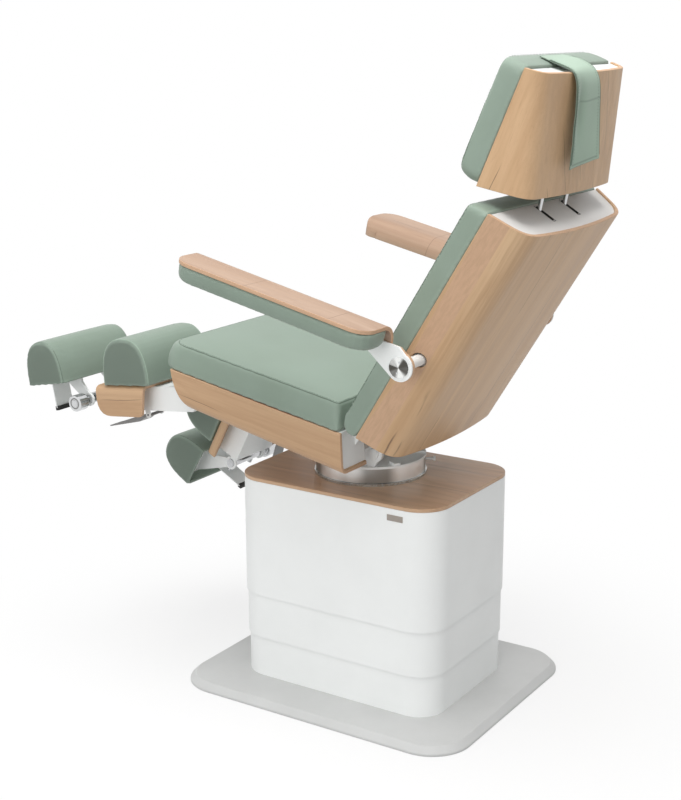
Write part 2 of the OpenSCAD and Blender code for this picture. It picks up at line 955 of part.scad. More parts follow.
module back_frame() {
    color(white_color)
        at_back() {
            difference() {
                translate([0, 0, plate_bottom])
                    linear_extrude(back_length - 2 * plate_bottom)
                        intersection() {
                            polygon(inner_path(back_path, ply));
                            translate([-back_half, seat_gap])
                                square([2 * back_half, plate_back]);
                        }
                for (x = [-rod_x, rod_x])
                    translate([x - slot_width / 2, -over, rod_pivot[1]])
                        cube([slot_width, plate_back + 2 * over, rod_pivot_depth]);
            }
            both_sides() {
                boss_plate(ear_x + ear_thick / 2 + lug_gap, ear_thick, hinge_in_back,
                    ear_boss, back_pin, [
                        [hinge_in_back[0], hinge_in_back[1] + ear_boss],
                        [hinge_in_back[0], hinge_in_back[1] - ear_boss],
                        [plate_back, hinge_in_back[1] - ear_boss],
                        [plate_back + seat_gap, 2 * plate_bottom], [seat_gap, 2 * plate_bottom],
                        [seat_gap, hinge_in_back[1] + ear_boss]
                    ]);
                boss_plate(2 * rod_x - lug_thick / 2, lug_thick, rod_pivot, ear_boss,
                    rod_cross + pin_play, [
                        [plate_back, rod_pivot[1] + ear_boss + lug_run], [plate_back, rod_pivot[1] - lug_run],
                        [rod_pivot[0], rod_pivot[1] - ear_boss], [rod_pivot[0], rod_pivot[1] + ear_boss]
                    ]);
                translate([ear_x - ear_thick / 2, hinge_in_back[0], hinge_in_back[1]])
                    rotate([0, 90, 0])
                        cylinder(h = hinge_width, r = back_pin);
                translate([back_half - stub_length, arm_in_back[0], arm_in_back[1]])
                    rotate([0, 90, 0])
                        difference() {
                            cylinder(h = stub_length - stub_wall_room, r = stub_boss);
                            translate([0, 0, -over])
                                cylinder(h = stub_length, r = stub_radius + pin_play);
                        }
                translate([back_half - stub_length, seat_gap, arm_in_back[1] - stub_boss / 2])
                    cube([frame_thick, arm_in_back[0] - stub_radius - ply / 2, stub_boss]);
            }
        }
}

// Headrest: rods through the slots of the cap, turning about a cross shaft inside the back
module head_rods() {
    color(steel_color)
        at_back()
            translate([0, rod_pivot[0], rod_pivot[1]]) {
                rotate([0, 90, 0])
                    cylinder(h = 4 * rod_x + 2 * lug_thick, r = rod_cross, center = true);
                for (x = [-rod_x, rod_x])
                    translate([x, 0, 0])
                        rotate([back_angle - rod_lean, 0, 0])
                            cylinder(h = rod_pivot_depth + rod_top, r = rod_radius);
            }
}

// The rods in the headrest's own frame: a point on their line and their lean
rod_foot_y = back_foot[0] + rod_pivot[0] * cos(back_angle) + rod_pivot[1] * sin(back_angle);
rod_foot_z = back_foot[1] - rod_pivot[0] * sin(back_angle) + rod_pivot[1] * cos(back_angle);

module along_rods() {
    translate([0, rod_foot_y, rod_foot_z])
        rotate([-rod_lean, 0, 0])
            children();
}

module head_frame() {
    color(white_color) {
        for (x = [-rod_x, rod_x])
            along_rods()
                translate([x, 0, socket_start])
                    difference() {
                        cylinder(h = socket_length, r = rod_radius + socket_wall);
                        translate([0, 0, -over])
                            cylinder(h = socket_length + 2 * over, r = rod_radius + pin_play);
                    }
        at_head()
            difference() {
                union() {
                    intersection() {
                        along_head()
                            polygon(inner_path(head_path, ply));
                        translate([-head_half, seat_gap, head_plate_low])
                            cube([2 * head_half, plate_back, head_plate_high - head_plate_low]);
                    }
                    for (z = rib_places)
                        translate([-rod_x - socket_wall, plate_back, z])
                            cube([2 * (rod_x + socket_wall), rib_reach, head_rib]);
                }
                at_rods_from_head()
                    for (x = [-rod_x, rod_x])
                        translate([x, 0, 0])
                            cylinder(h = rod_pivot_depth + 2 * rod_top, r = rod_radius + socket_wall / 2);
            }
    }
}

// The rods' frame, seen from the headrest's
module at_rods_from_head() {
    rotate([head_angle, 0, 0])
        translate([0, -head_foot[0], -head_foot[1]])
            along_rods()
                children();
}

head_slant = atan((head_deep - head_shallow) / (head_length + head_top_rise - head_bottom_rise));
head_run = head_deep * cos(head_slant) + head_bottom_rise * sin(head_slant);
head_path = trough_path(head_half, head_half - head_splay_share * head_run, head_run, head_bow, head_bend);

// The sheet of the headrest leans towards the front, so that the shell is shallow at the top
module along_head() {
    rotate([head_slant, 0, 0])
        translate([0, 0, -head_deep])
            linear_extrude(head_length + 2 * head_deep)
                children();
}

// Side outline between two lines: the bottom edge, lifted by low, and the top edge, lowered by drop
module head_side(low, high) {
    reach = 2 * head_deep;
    side_plate(-head_half, 2 * head_half)
        polygon([
            [0, low], [0, head_length - high],
            [reach, head_length - high + head_top_rise * reach / head_shallow],
            [reach, low + head_bottom_rise * reach / head_deep]
        ]);
}

module head_shell() {
    color(wood_color)
        at_head()
            intersection() {
                along_head()
                    sheet_outline(head_path, ply);
                head_side(0, 0);
            }
}

module head_cap() {
    color(white_color)
        at_head()
            intersection() {
                along_head()
                    polygon(inner_path(head_path, ply));
                difference() {
                    head_side(0, cap_recess);
                    head_side(-over, cap_recess + cap_thick);
                }
            }
}

module head_cushion() {
    top_half = head_half - head_splay_share * (head_run - head_shallow);
    corners = [head_pad_corner, head_pad_corner];
    color(green_color)
        at_head()
            translate([0, -seat_gap, 0])
                rotate([90, 0, 0])
                    ring_stack(concat(
                        [for (level = side_shares) let (lean = level[1] * head_side_lean)
                            pad_ring(
                                [head_half - lean, top_half - lean], level[2] * head_end_lean,
                                head_length + head_roll * (1 - level[2]),
                                level[0] * head_pad_thick, corners
                            )],
                        [for (level = crown_shares)
                            let (lean = level[0] * head_crown_reach + head_side_lean)
                            pad_ring(
                                [head_half - lean, top_half - lean],
                                head_end_lean - head_side_lean + lean, head_length - lean + head_side_lean,
                                head_pad_thick + level[1] * head_crown, corners * (1 - level[0])
                            )]
                    ));
}

// The strap lies over the top of the headrest and hangs free behind it
module head_strap() {
    top = head_length + head_roll + seat_gap;
    rear = head_shallow + head_bow + ply;
    hang = [rear + strap_thick, top - strap_front];
    low = [rear + strap_drop * sin(head_slant), top - strap_drop];
    run = concat(
        [[-strap_start, top + strap_thick]],
        bend([head_shallow + head_bow, top + strap_thick], [rear + strap_thick, top + strap_thick],
            hang, 6),
        bend(hang, (hang + low) / 2 + [2 * strap_bow, 0], low, 8)
    );
    color(green_color)
        at_head()
            side_plate(strap_x - strap_width / 2, strap_width)
                polygon(concat(run, reversed(inset_path(run, -strap_thick))));
}

// Armrests
// Seen from above: round at the front and at the outer rear corner
module arm_plan() {
    translate([arm_inner + arm_inner_corner, -arm_length + arm_inner_corner])
        circle(r = arm_inner_corner);
    for (y = [-arm_length + arm_corner, -arm_rear - arm_corner])
        translate([arm_outer - arm_corner, y])
            circle(r = arm_corner);
    translate([arm_inner + arm_inner_corner, -arm_length])
        square([arm_width - arm_inner_corner - arm_corner, arm_length - arm_rear]);
    translate([arm_inner, -arm_length + arm_corner])
        square([arm_width, arm_length - arm_rear - 2 * arm_corner]);
    translate([arm_inner, -arm_rear - arm_corner])
        square([arm_corner, arm_corner]);
}

// Seen from the front: a flat top that bends down into the inner wall
module arm_section(inset) {
    translate([arm_inner + arm_bend, arm_rise - arm_bend])
        intersection() {
            circle(r = arm_bend - inset);
            translate([-arm_bend, 0])
                square([arm_bend + over, arm_bend]);
        }
    translate([arm_inner + arm_bend, arm_rise - arm_bend])
        square([arm_width, arm_bend - inset]);
}

// The lower end that hangs from the inner wall down to the pivot
module arm_root_outline(top, front) {
    circle(r = arm_lobe);
    polygon([
        arm_lobe * lobe_rear_share, [-arm_root_rear, top], [-front, top],
        [-front, top - ply], arm_lobe * lobe_front_share
    ]);
}

module along_arm() {
    rotate([90, 0, 0])
        linear_extrude(arm_length)
            children();
}

module arm_wood(side) {
    color(wood_color)
        at_arm(side) {
            intersection() {
                along_arm()
                    difference() {
                        arm_section(0);
                        arm_section(ply);
                    }
                linear_extrude(arm_rise + over)
                    arm_plan();
            }
            side_plate(arm_inner, ply)
                difference() {
                    arm_root_outline(arm_rise - arm_bend, arm_root);
                    circle(r = stub_radius + pin_play);
                }
        }
}

module arm_bracket(side) {
    color(white_color)
        at_arm(side)
            side_plate(arm_inner + ply + seat_gap, arm_sheet)
                arm_root_outline(arm_rise - arm_bend + leg_sheet, arm_root);
    color(steel_color)
        at_arm(side)
            translate([back_half - stub_length, 0, 0])
                rotate([0, 90, 0])
                    cylinder(h = arm_inner + ply + seat_gap - back_half + stub_length, r = stub_radius);
}

module arm_disc(side) {
    color(steel_color)
        at_arm(side)
            translate([arm_inner + ply + seat_gap + arm_sheet, 0, 0])
                rotate([0, 90, 0])
                    difference() {
                        cylinder(h = arm_disc_thick, r = arm_disc_radius);
                        for (i = [-1, 1])
                            translate([i * pin_hole_spread, 0, arm_disc_thick / 2])
                                cylinder(h = arm_disc_thick, r = pin_hole_radius);
                    }
}

module arm_pad(side) {
    inner = arm_inner + ply + 2 * seat_gap + arm_sheet;
    half = (arm_outer - arm_pad_inset - inner) / 2;
    corner = half * arm_corner_share;
    color(green_color)
        at_arm(side)
            intersection() {
                translate([inner + half, 0, arm_rise - ply - seat_gap])
                    mirror([0, 0, 1])
                        ring_stack([for (level = arm_shares)
                            let (lean = level[1] * arm_pad_lean)
                            pad_ring(
                                [half - lean, half - lean],
                                -arm_length + arm_pad_inset + lean, -arm_rear + arm_pad_inset - lean,
                                level[0] * arm_pad_height, [corner, corner]
                            )]);
                along_arm() {
                    arm_section(ply + seat_gap);
                    translate([arm_inner, 0])
                        square([arm_width, arm_rise - arm_bend]);
                }
            }
}

// Leg rests
leg_mid = (leg_inner + leg_outer) / 2;
leg_half = (leg_outer - leg_inner) / 2;
board_top = channel_top + ply;
channel_bottom = channel_top - channel_deep;
pad_base = board_top + seat_gap;

module channel_outline(inset, open) {
    polygon([
        [channel_tail - inset, channel_top - inset], [channel_tail - inset, channel_bottom / 2],
        [0, channel_bottom + inset], [-channel_length - open, channel_bottom + inset],
        [-channel_length - open, channel_top - inset]
    ]);
}

module leg_channel(side) {
    lever_low = channel_bottom - lever_pivot_drop;
    color(white_color)
        at_leg(side)
            difference() {
                union() {
                    difference() {
                        side_plate(channel_inner, channel_outer - channel_inner)
                            channel_outline(0, 0);
                        side_plate(channel_inner + leg_sheet, channel_outer - channel_inner - 2 * leg_sheet)
                            channel_outline(leg_sheet, over);
                    }
                    for (x = [lever_x - leg_sheet - lug_gap, lever_x + lever_width + lug_gap])
                        boss_plate(x, leg_sheet, [-lever_start, lever_low], lever_boss,
                            lever_pin + pin_play, [
                                [-lever_start - lever_boss, lever_low], [-lever_start + lever_boss, lever_low],
                                [-lever_start + lever_boss, channel_bottom + leg_sheet / 2],
                                [-lever_start - lever_boss, channel_bottom + leg_sheet / 2]
                            ]);
                    carrier();
                }
                translate([channel_inner - over, 0, 0])
                    rotate([0, 90, 0])
                        cylinder(h = channel_outer - channel_inner + 2 * over, r = leg_pin + pin_play);
                for (x = [-rail_gap, rail_gap])
                    translate([leg_mid + x, over - channel_length, -rail_drop])
                        rotate([90, 0, 0])
                            cylinder(h = 4 * carrier_thick, r = rail_radius + pin_play, center = true);
            }
}

// End plate of the channel that guides the rails
module carrier() {
    translate([channel_inner, -channel_length, channel_bottom])
        cube([channel_outer - channel_inner, carrier_thick, channel_deep]);
}

module leg_board(side) {
    path = trough_path(leg_half, leg_half, board_deep, 0, board_bend);
    low = board_top - board_deep;
    start = -board_start;
    end = -board_start - board_length;
    color(wood_color)
        at_leg(side)
            difference() {
                intersection() {
                    translate([leg_mid, start + over, low])
                        rotate([90, 0, 0])
                            linear_extrude(board_length + 2 * over)
                                sheet_outline(path, ply);
                    side_plate(leg_inner, leg_outer - leg_inner)
                        polygon(concat(
                            [[start, board_top], [start - board_slant, low + board_round]],
                            bend([start - board_slant, low + board_round], [start - board_slant, low],
                                [start - board_slant - board_round, low], 5),
                            bend([end + board_end_round, low], [end, low],
                                [end, low + board_end_round], 5),
                            [[end, board_top]]
                        ));
                }
                translate([leg_inner - over, end - over, low - over])
                    cube([leg_half, board_length + 2 * over, board_deep - board_lip + over]);
            }
}

// Cross section of a roll: steep sides and a round top
function roll_ring(x, start, length, height, base, share) = [
    for (i = [0 : 16])
        let (angle = i * 180 / 16, c = cos(angle), s = abs(sin(angle)))
        [
            x,
            -start - length / 2 + sign(c) * pow(abs(c), roll_share) * length / 2 * share,
            base + pow(s, roll_share) * height * share
        ]
];

module leg_roll(outer, start, length, height, base) {
    ring_stack([for (level = roll_end_shares)
        roll_ring(
            leg_inner + level[0] * (outer - leg_inner), start, length, height, base, level[1]
        )]);
}

module calf_pad(side) {
    color(green_color)
        at_leg(side)
            leg_roll(leg_outer, calf_start, calf_length, calf_height, pad_base);
}

module leg_lever(side) {
    low = channel_bottom - lever_pivot_drop;
    run = [
        [-lever_start + lever_boss, low], [-lever_start - lever_boss, low],
        [-lever_start - lever_reach / 4, low - lever_drop / 2],
        [-lever_start - lever_reach, low - lever_drop]
    ];
    color(grey_color)
        at_leg(side) {
            side_plate(lever_x, lever_width)
                polygon(concat(run, reversed(inset_path(run, leg_sheet))));
            side_plate(lever_x + lever_width - leg_sheet, leg_sheet)
                polygon([run[0], run[2], run[3], [run[1][0], low + leg_sheet], [run[0][0], low + leg_sheet]]);
            translate([lever_x - leg_sheet - lug_gap, -lever_start, low])
                rotate([0, 90, 0])
                    cylinder(h = lever_width + 2 * (leg_sheet + lug_gap), r = lever_pin);
        }
}

// Foot rests: the frame of each starts at its clamp shaft
function foot_start(side) = side < 0 ? foot_start_right : foot_start_left;

module at_clamp(side, tilt) {
    at_leg(side)
        translate([0, -foot_start(side) - clamp_ahead, -clamp_drop])
            rotate([tilt, 0, 0])
                children();
}

module foot_rails(side) {
    reach = foot_start(side) + clamp_ahead - rail_start;
    color(steel_color)
        at_clamp(side, 0)
            difference() {
                union() {
                    for (x = [-rail_gap, rail_gap])
                        translate([leg_mid + x, reach, clamp_drop - rail_drop])
                            rotate([90, 0, 0])
                                cylinder(h = reach + rail_ahead, r = rail_radius);
                    translate([clamp_inner, 0, 0])
                        rotate([0, 90, 0])
                            cylinder(h = clamp_outer - clamp_inner, r = clamp_radius);
                    translate([leg_mid - rail_gap - rail_radius, -rail_radius, 0])
                        cube([2 * (rail_gap + rail_radius), 2 * rail_radius, clamp_drop - rail_drop + rail_radius]);
                }
                translate([clamp_outer - 2 * knob_grip, 0, 0])
                    rotate([0, 90, 0])
                        cylinder(h = 2 * knob_grip + over, r = knob_pin + pin_play);
            }
}

module foot_knob(side) {
    color(steel_color)
        at_clamp(side, 0)
            translate([clamp_outer, 0, 0])
                rotate([0, 90, 0]) {
                    translate([0, 0, -knob_grip])
                        cylinder(h = knob_grip + seat_gap, r = knob_pin);
                    translate([0, 0, seat_gap])
                        cylinder(h = knob_neck - seat_gap, r = clamp_radius);
                    translate([0, 0, knob_neck])
                        cylinder(h = knob_thick, r = knob_radius);
                }
}

module at_foot(side) {
    at_clamp(side, side < 0 ? foot_tilt_right : foot_tilt_left)
        children();
}

// Heights and lengths in the foot frame, from the clamp shaft
foot_base = clamp_drop + foot_rise;
foot_roof = foot_base + foot_hollow;
flange_y = -foot_length + clamp_ahead + foot_skin;

module foot_pad(side) {
    color(green_color)
        at_foot(side)
            translate([0, clamp_ahead, 0])
                difference() {
                    leg_roll(foot_outer, 0, foot_length, foot_height, foot_base);
                    translate([leg_inner + foot_skin, -foot_length + foot_skin, foot_base - over])
                        cube([foot_outer - leg_inner - 2 * foot_skin, foot_length - 2 * foot_skin,
                            foot_hollow + over]);
                }
}

module foot_plate(side) {
    width = channel_outer - channel_inner;
    color(white_color)
        at_foot(side) {
            translate([channel_inner, flange_y, foot_roof - leg_sheet - seat_gap])
                cube([width, foot_length - 2 * foot_skin, leg_sheet]);
            translate([flange_inner, flange_y, foot_base - foot_flange])
                cube([channel_outer - flange_inner, leg_sheet,
                    foot_flange + foot_hollow - seat_gap]);
            for (x = [channel_inner + clamp_radius, channel_outer - 2 * clamp_radius])
                boss_plate(x, leg_sheet * 2, [0, 0], clamp_radius + leg_sheet * 2,
                    clamp_radius + pin_play, [
                        [-clamp_radius - leg_sheet, 0], [clamp_radius, clamp_radius / 2],
                        [-clamp_radius, foot_base - clamp_radius], [-clamp_radius, foot_roof - leg_sheet],
                        [flange_y + foot_skin, foot_roof - leg_sheet]
                    ]);
        }
}

module foot_bumper(side) {
    width = channel_outer - flange_inner;
    low = foot_base - foot_flange;
    color(black_color)
        at_foot(side)
            difference() {
                translate([flange_inner, flange_y - (bumper_thick - leg_sheet) / 2,
                    low + bumper_grip - bumper_height])
                    cube([width, bumper_thick, bumper_height]);
                translate([flange_inner - over, flange_y, low])
                    cube([width + 2 * over, leg_sheet, bumper_grip + over]);
            }
}

floor_plate();
cover_inner();
column_outer();
cover_mid();
column_mid();
cover_outer();
deck();
column_inner();
turn_ring();
turn_drum();
turn_plate();
yoke();
lock_handle();
seat_shell();
seat_frame();
seat_cushion();
leg_shaft();
back_shell();
back_cushion();
back_cap();
back_frame();
head_rods();
head_frame();
head_shell();
head_cushion();
head_cap();
head_strap();
arm_wood(1);  // arm_wood_left
arm_pad(1);  // arm_pad_left
arm_bracket(1);  // arm_bracket_left
arm_disc(1);  // arm_disc_left
arm_wood(-1);  // arm_wood_right
arm_pad(-1);  // arm_pad_right
arm_bracket(-1);  // arm_bracket_right
arm_disc(-1);  // arm_disc_right
leg_channel(1);  // leg_channel_left
leg_board(1);  // leg_board_left
calf_pad(1);  // calf_pad_left
leg_lever(1);  // leg_lever_left
leg_channel(-1);  // leg_channel_right
leg_board(-1);  // leg_board_right
calf_pad(-1);  // calf_pad_right
leg_lever(-1);  // leg_lever_right
foot_rails(1);  // foot_rails_left
foot_plate(1);  // foot_plate_left
foot_pad(1);  // foot_pad_left
foot_bumper(1);  // foot_bumper_left
foot_knob(1);  // foot_knob_left
foot_rails(-1);  // foot_rails_right
foot_plate(-1);  // foot_plate_right
foot_pad(-1);  // foot_pad_right
foot_bumper(-1);  // foot_bumper_right
foot_knob(-1);  // foot_knob_right
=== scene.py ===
# Podiatry chair: finishes, padding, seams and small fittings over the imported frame
import json
from math import cos, pi, radians, sin
import bmesh
import bpy
import numpy as np
from mathutils import Matrix, Vector
from mathutils.bvhtree import BVHTree

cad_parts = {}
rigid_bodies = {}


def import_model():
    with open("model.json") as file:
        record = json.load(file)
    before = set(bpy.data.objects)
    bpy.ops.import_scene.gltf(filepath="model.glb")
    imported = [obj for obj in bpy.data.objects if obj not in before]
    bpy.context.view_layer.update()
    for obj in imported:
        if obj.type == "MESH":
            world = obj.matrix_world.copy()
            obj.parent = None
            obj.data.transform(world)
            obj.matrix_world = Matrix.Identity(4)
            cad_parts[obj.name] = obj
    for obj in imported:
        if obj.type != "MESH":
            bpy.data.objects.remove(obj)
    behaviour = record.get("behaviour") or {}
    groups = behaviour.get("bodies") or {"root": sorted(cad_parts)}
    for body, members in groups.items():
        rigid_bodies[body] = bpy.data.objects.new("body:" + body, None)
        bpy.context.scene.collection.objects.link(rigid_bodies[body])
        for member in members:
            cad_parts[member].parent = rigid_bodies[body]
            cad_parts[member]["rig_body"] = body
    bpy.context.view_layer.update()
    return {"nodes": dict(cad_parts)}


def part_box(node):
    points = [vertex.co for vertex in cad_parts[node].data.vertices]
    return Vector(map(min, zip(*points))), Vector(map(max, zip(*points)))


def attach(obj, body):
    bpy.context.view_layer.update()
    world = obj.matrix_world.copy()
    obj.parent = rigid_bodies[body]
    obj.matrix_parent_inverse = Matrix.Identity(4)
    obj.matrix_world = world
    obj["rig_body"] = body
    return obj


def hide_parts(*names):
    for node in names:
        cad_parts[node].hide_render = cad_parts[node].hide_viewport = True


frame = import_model()
nodes = frame["nodes"]
mm = 0.001
sides = {"left": 1, "right": -1}


def tilted(y, z, lean):  # a group's own frame at its hinge: +x across, leaning back by lean degrees
    return Matrix.Translation((0, y, z)) @ Matrix.Rotation(radians(-lean), 4, "X")


places = {
    "row": Matrix.Identity(4),
    "seat": tilted(0.075, 0.722, 10.3),
    "back": tilted(0.122, 0.722, 31.5),
    "head": tilted(0.395, 1.304, 22.2),
    "arm": tilted(0.280, 0.921, 12.8),
    "legLeft": tilted(-0.404, 0.747, -6.5),
    "legRight": tilted(-0.404, 0.747, -63),
}
clampShaft = {"ahead": 0.014, "below": 0.033}
footRests = {"Left": {"reach": 0.354, "tilt": 4}, "Right": {"reach": 0.284, "tilt": -3}}
for leg, rest in footRests.items():
    ahead = rest["reach"] + clampShaft["ahead"]
    clamp = places["leg" + leg] @ Matrix.Translation((0, -ahead, -clampShaft["below"]))
    places["clamp" + leg] = clamp
    places["foot" + leg] = clamp @ Matrix.Rotation(radians(rest["tilt"]), 4, "X")


def direction(place, axis):  # one axis of a group's frame, in the row frame
    return tuple(places[place].to_3x3().col["xyz".index(axis)])


# Shader building
def tone(red, green, blue):  # 0..255 as seen on screen, to linear light
    return tuple(((c / 255 + 0.055) / 1.055) ** 2.4 for c in (red, green, blue)) + (1.0,)


class Shade:  # one socket of a material's tree, with arithmetic
    def __init__(self, tree, plug=None):
        self.tree, self.plug = tree, plug

    def node(self, kind, setup, feeds=(), out=0):
        made = self.tree.nodes.new(kind)
        for name, value in setup.items():
            setattr(made, name, value)
        pairs = feeds.items() if isinstance(feeds, dict) else enumerate(feeds)
        for name, value in pairs:
            if isinstance(value, Shade):
                self.tree.links.new(value.plug, made.inputs[name])
            else:
                made.inputs[name].default_value = value
        return Shade(self.tree, made.outputs[out])

    def sums(self, operation, *values):
        return self.node("ShaderNodeMath", {"operation": operation}, values)

    def __add__(self, other):
        return self.sums("ADD", self, other)

    def __sub__(self, other):
        return self.sums("SUBTRACT", self, other)

    def __rsub__(self, other):
        return self.sums("SUBTRACT", other, self)

    def __mul__(self, other):
        return self.sums("MULTIPLY", self, other)

    __radd__ = __add__
    __rmul__ = __mul__

    def size(self):
        return self.sums("ABSOLUTE", self)

    def fraction(self):
        return self.sums("FRACT", self)

    def cosine(self):
        return self.sums("COSINE", self)

    def largest(self, other):
        return self.sums("MAXIMUM", self, other)

    def shift(self, other):  # from another point to this one
        return self.node("ShaderNodeVectorMath", {"operation": "SUBTRACT"}, [self, other])

    def length(self):
        return self.node("ShaderNodeVectorMath", {"operation": "LENGTH"}, [self], 1)

    def between(self, low, high, start=0.0, end=1.0):  # smooth step from low to high
        feeds = [self, low, high, start, end]
        return self.node("ShaderNodeMapRange", {"interpolation_type": "SMOOTHSTEP"}, feeds)

    def blend(self, first, second):  # colours, with this socket as the factor
        return self.node("ShaderNodeMix", {"data_type": "RGBA"}, {0: self, 6: first, 7: second}, 2)

    def along(self, axis):  # how far a point lies along an axis
        return self.node("ShaderNodeVectorMath", {"operation": "DOT_PRODUCT"}, [self, axis], 1)

    def stretched(self, *axes):  # a point in other axes, each a direction times a scale
        return self.node("ShaderNodeCombineXYZ", {}, [self.along(axis) for axis in axes])

    def cloud(self, scale, detail, rough, warp=0.0, seed=None):
        setup = {"noise_dimensions": "3D" if seed is None else "4D"}
        feeds = {"Vector": self, "Scale": scale, "Detail": detail, "Roughness": rough}
        feeds["Distortion"] = warp
        if seed is not None:
            feeds["W"] = seed
        return self.node("ShaderNodeTexNoise", setup, feeds)

    def cells(self, scale, feature):
        return self.node("ShaderNodeTexVoronoi", {"feature": feature}, {"Vector": self, "Scale": scale})

    def bumps(self, height, strength, depth):
        feeds = {"Height": height, "Strength": strength, "Distance": depth}
        return self.node("ShaderNodeBump", {}, feeds)

    def reading(self, name):  # a number stored on the mesh
        return self.node("ShaderNodeAttribute", {"attribute_name": name}, (), 2)


def emptyMaterial(name):
    material = bpy.data.materials.new(name)
    material.use_nodes = True
    return material


def finish(name, look, **fixed):
    # look(start, point) gives what changes over the surface; fixed are constants on the shader itself
    material = emptyMaterial(name)
    tree = material.node_tree
    shader = tree.nodes["Principled BSDF"]
    start = Shade(tree)
    point = start.node("ShaderNodeTexCoord", {}, (), "Object")
    for socket, value in look(start, point).items():
        if isinstance(value, Shade):
            tree.links.new(value.plug, shader.inputs[socket])
        else:
            shader.inputs[socket].default_value = value
    for socket, value in fixed.items():
        shader.inputs[socket.replace("_", " ")].default_value = value
    return material


def scaled(axis, factor):
    return tuple(c * factor for c in axis)


def darker(colour, share):
    return scaled(colour[:3], share) + (1.0,)


# Finishes
# colours and range of roughness of each veneer; the arms have two butt joints, in metres from the hinge
oakLook = {
    "light": tone(219, 186, 148), "warm": tone(205, 168, 128), "dark": tone(190, 153, 115),
    "pore": tone(158, 120, 87), "crack": tone(86, 60, 42), "rough": (0.42, 0.58),
}
seatLook = {
    "light": tone(208, 174, 138), "warm": tone(194, 157, 121), "dark": tone(180, 143, 108),
    "pore": tone(150, 113, 82), "crack": tone(86, 60, 42), "rough": (0.42, 0.58),
}
armLook = {
    "light": tone(188, 160, 138), "warm": tone(178, 147, 123), "dark": tone(162, 131, 108),
    "pore": tone(136, 104, 82), "crack": tone(92, 64, 48), "rough": (0.42, 0.58),
    "joints": (-0.355, -0.13),
}
deckLook = {
    "light": tone(216, 182, 150), "warm": tone(196, 160, 128), "dark": tone(168, 132, 101),
    "pore": tone(132, 100, 74), "crack": tone(84, 62, 48), "rough": (0.36, 0.5),
}

# the clouds that a veneer is mixed from: stretch along and across the grain, detail, roughness and warp;
# the seed of each is its number in this list
woodClouds = {
    "broad": (0.9, 3.2, 3.0, 0.5, 0.5),
    "bands": (1.3, 17.0, 5.0, 0.6, 0.7),
    "streaks": (2.8, 95.0, 4.0, 0.62, 0.2),
    "hair": (16.0, 640.0, 3.0, 0.62, 0.0),
    "ringSway": (1.5, 1.5 * 1.4, 4.0, 0.5, 0.0),
    "waver": (26.0, 40.0, 3.0, 0.6, 0.0),
    "crackPatch": (3.4, 16.0, 2.0, 0.5, 0.0),
    "knots": (3.0, 13.0, 2.0, 0.4, 0.8),
    "ringPatch": (2.0, 7.0, 2.0, 0.5, 0.0),
    "crackSway": (0.8, 0.8 * 1.4, 4.0, 0.5, 0.0),
}
cloudSeeds = {name: number for number, name in enumerate(woodClouds, 1)}
cloudSeeds["crackSway"] = cloudSeeds["ringSway"]
# thin lines that follow the grain: how many to the metre, how far they sway and how wide they are
woodLines = {"ring": (26.0, 9.0, 0.34), "crack": (13.0, 1.5, 0.016)}
veneerJoint = {"shift": 0.002, "waver": 0.004, "low": 0.0003, "high": 0.0011}


def oak(name, place, along, across, through, look, seed):
    grain, cross, deep = direction(place, along), direction(place, across), direction(place, through)

    def veneer(start, point):
        def cloud(layer):
            length, width, detail, rough, warp = woodClouds[layer]
            run = point.stretched(scaled(grain, length), scaled(cross, width), scaled(deep, width))
            return run.cloud(1.0, detail, rough, warp, seed + cloudSeeds[layer])

        def lines(kind):
            count, sway, width = woodLines[kind]
            walk = point.along(scaled(cross, count)) + point.along(scaled(deep, count * 1.03))
            walk = walk + cloud(kind + "Sway") * sway + cloud("waver") * (width * 1.6)
            return (walk.fraction() - 0.5).size().between(0.0, width, 1.0, 0.0)

        broad, bands, streaks, hair = (cloud(layer) for layer in ("broad", "bands", "streaks", "hair"))
        rings = lines("ring") * cloud("ringPatch").between(0.42, 0.62)
        crack = lines("crack") * cloud("crackPatch").between(0.51, 0.56)
        knot = cloud("knots").between(0.7, 0.78)
        colour = (bands * 0.55 + streaks * 0.45).between(0.33, 0.67).blend(look["dark"], look["light"])
        layers = [
            (broad.between(0.32, 0.7), 0.55, "warm"), (rings, 0.3, "dark"),
            (hair.between(0.55, 0.72), 0.3, "pore"), (knot, 0.5, "pore"), (crack, 0.8, "crack"),
        ]
        for spot in look.get("joints", ()):  # butt joints of the veneer, across the grain
            joint = Vector(grain).dot(places[place] @ Vector((0, spot, 0))) + veneerJoint["shift"]
            far = (point.along(grain) + bands * veneerJoint["waver"] - joint).size()
            layers.append((far.between(veneerJoint["low"], veneerJoint["high"], 1.0, 0.0), 0.55, "crack"))
        for mask, share, shade in layers:
            colour = (mask * share).blend(colour, look[shade])
        rough = streaks.between(0.3, 0.7, look["rough"][0], look["rough"][1])
        height = 1.0 - hair.between(0.55, 0.75) * 0.5 - crack
        return {"Base Color": colour, "Roughness": rough, "Normal": start.bumps(height, 0.3, 0.0003)}

    return finish(name, veneer, Coat_Weight=0.12, Coat_Roughness=0.35)


plies = {"count": 7.0, "core": 0.42, "light": tone(222, 186, 152), "dark": tone(176, 124, 98)}


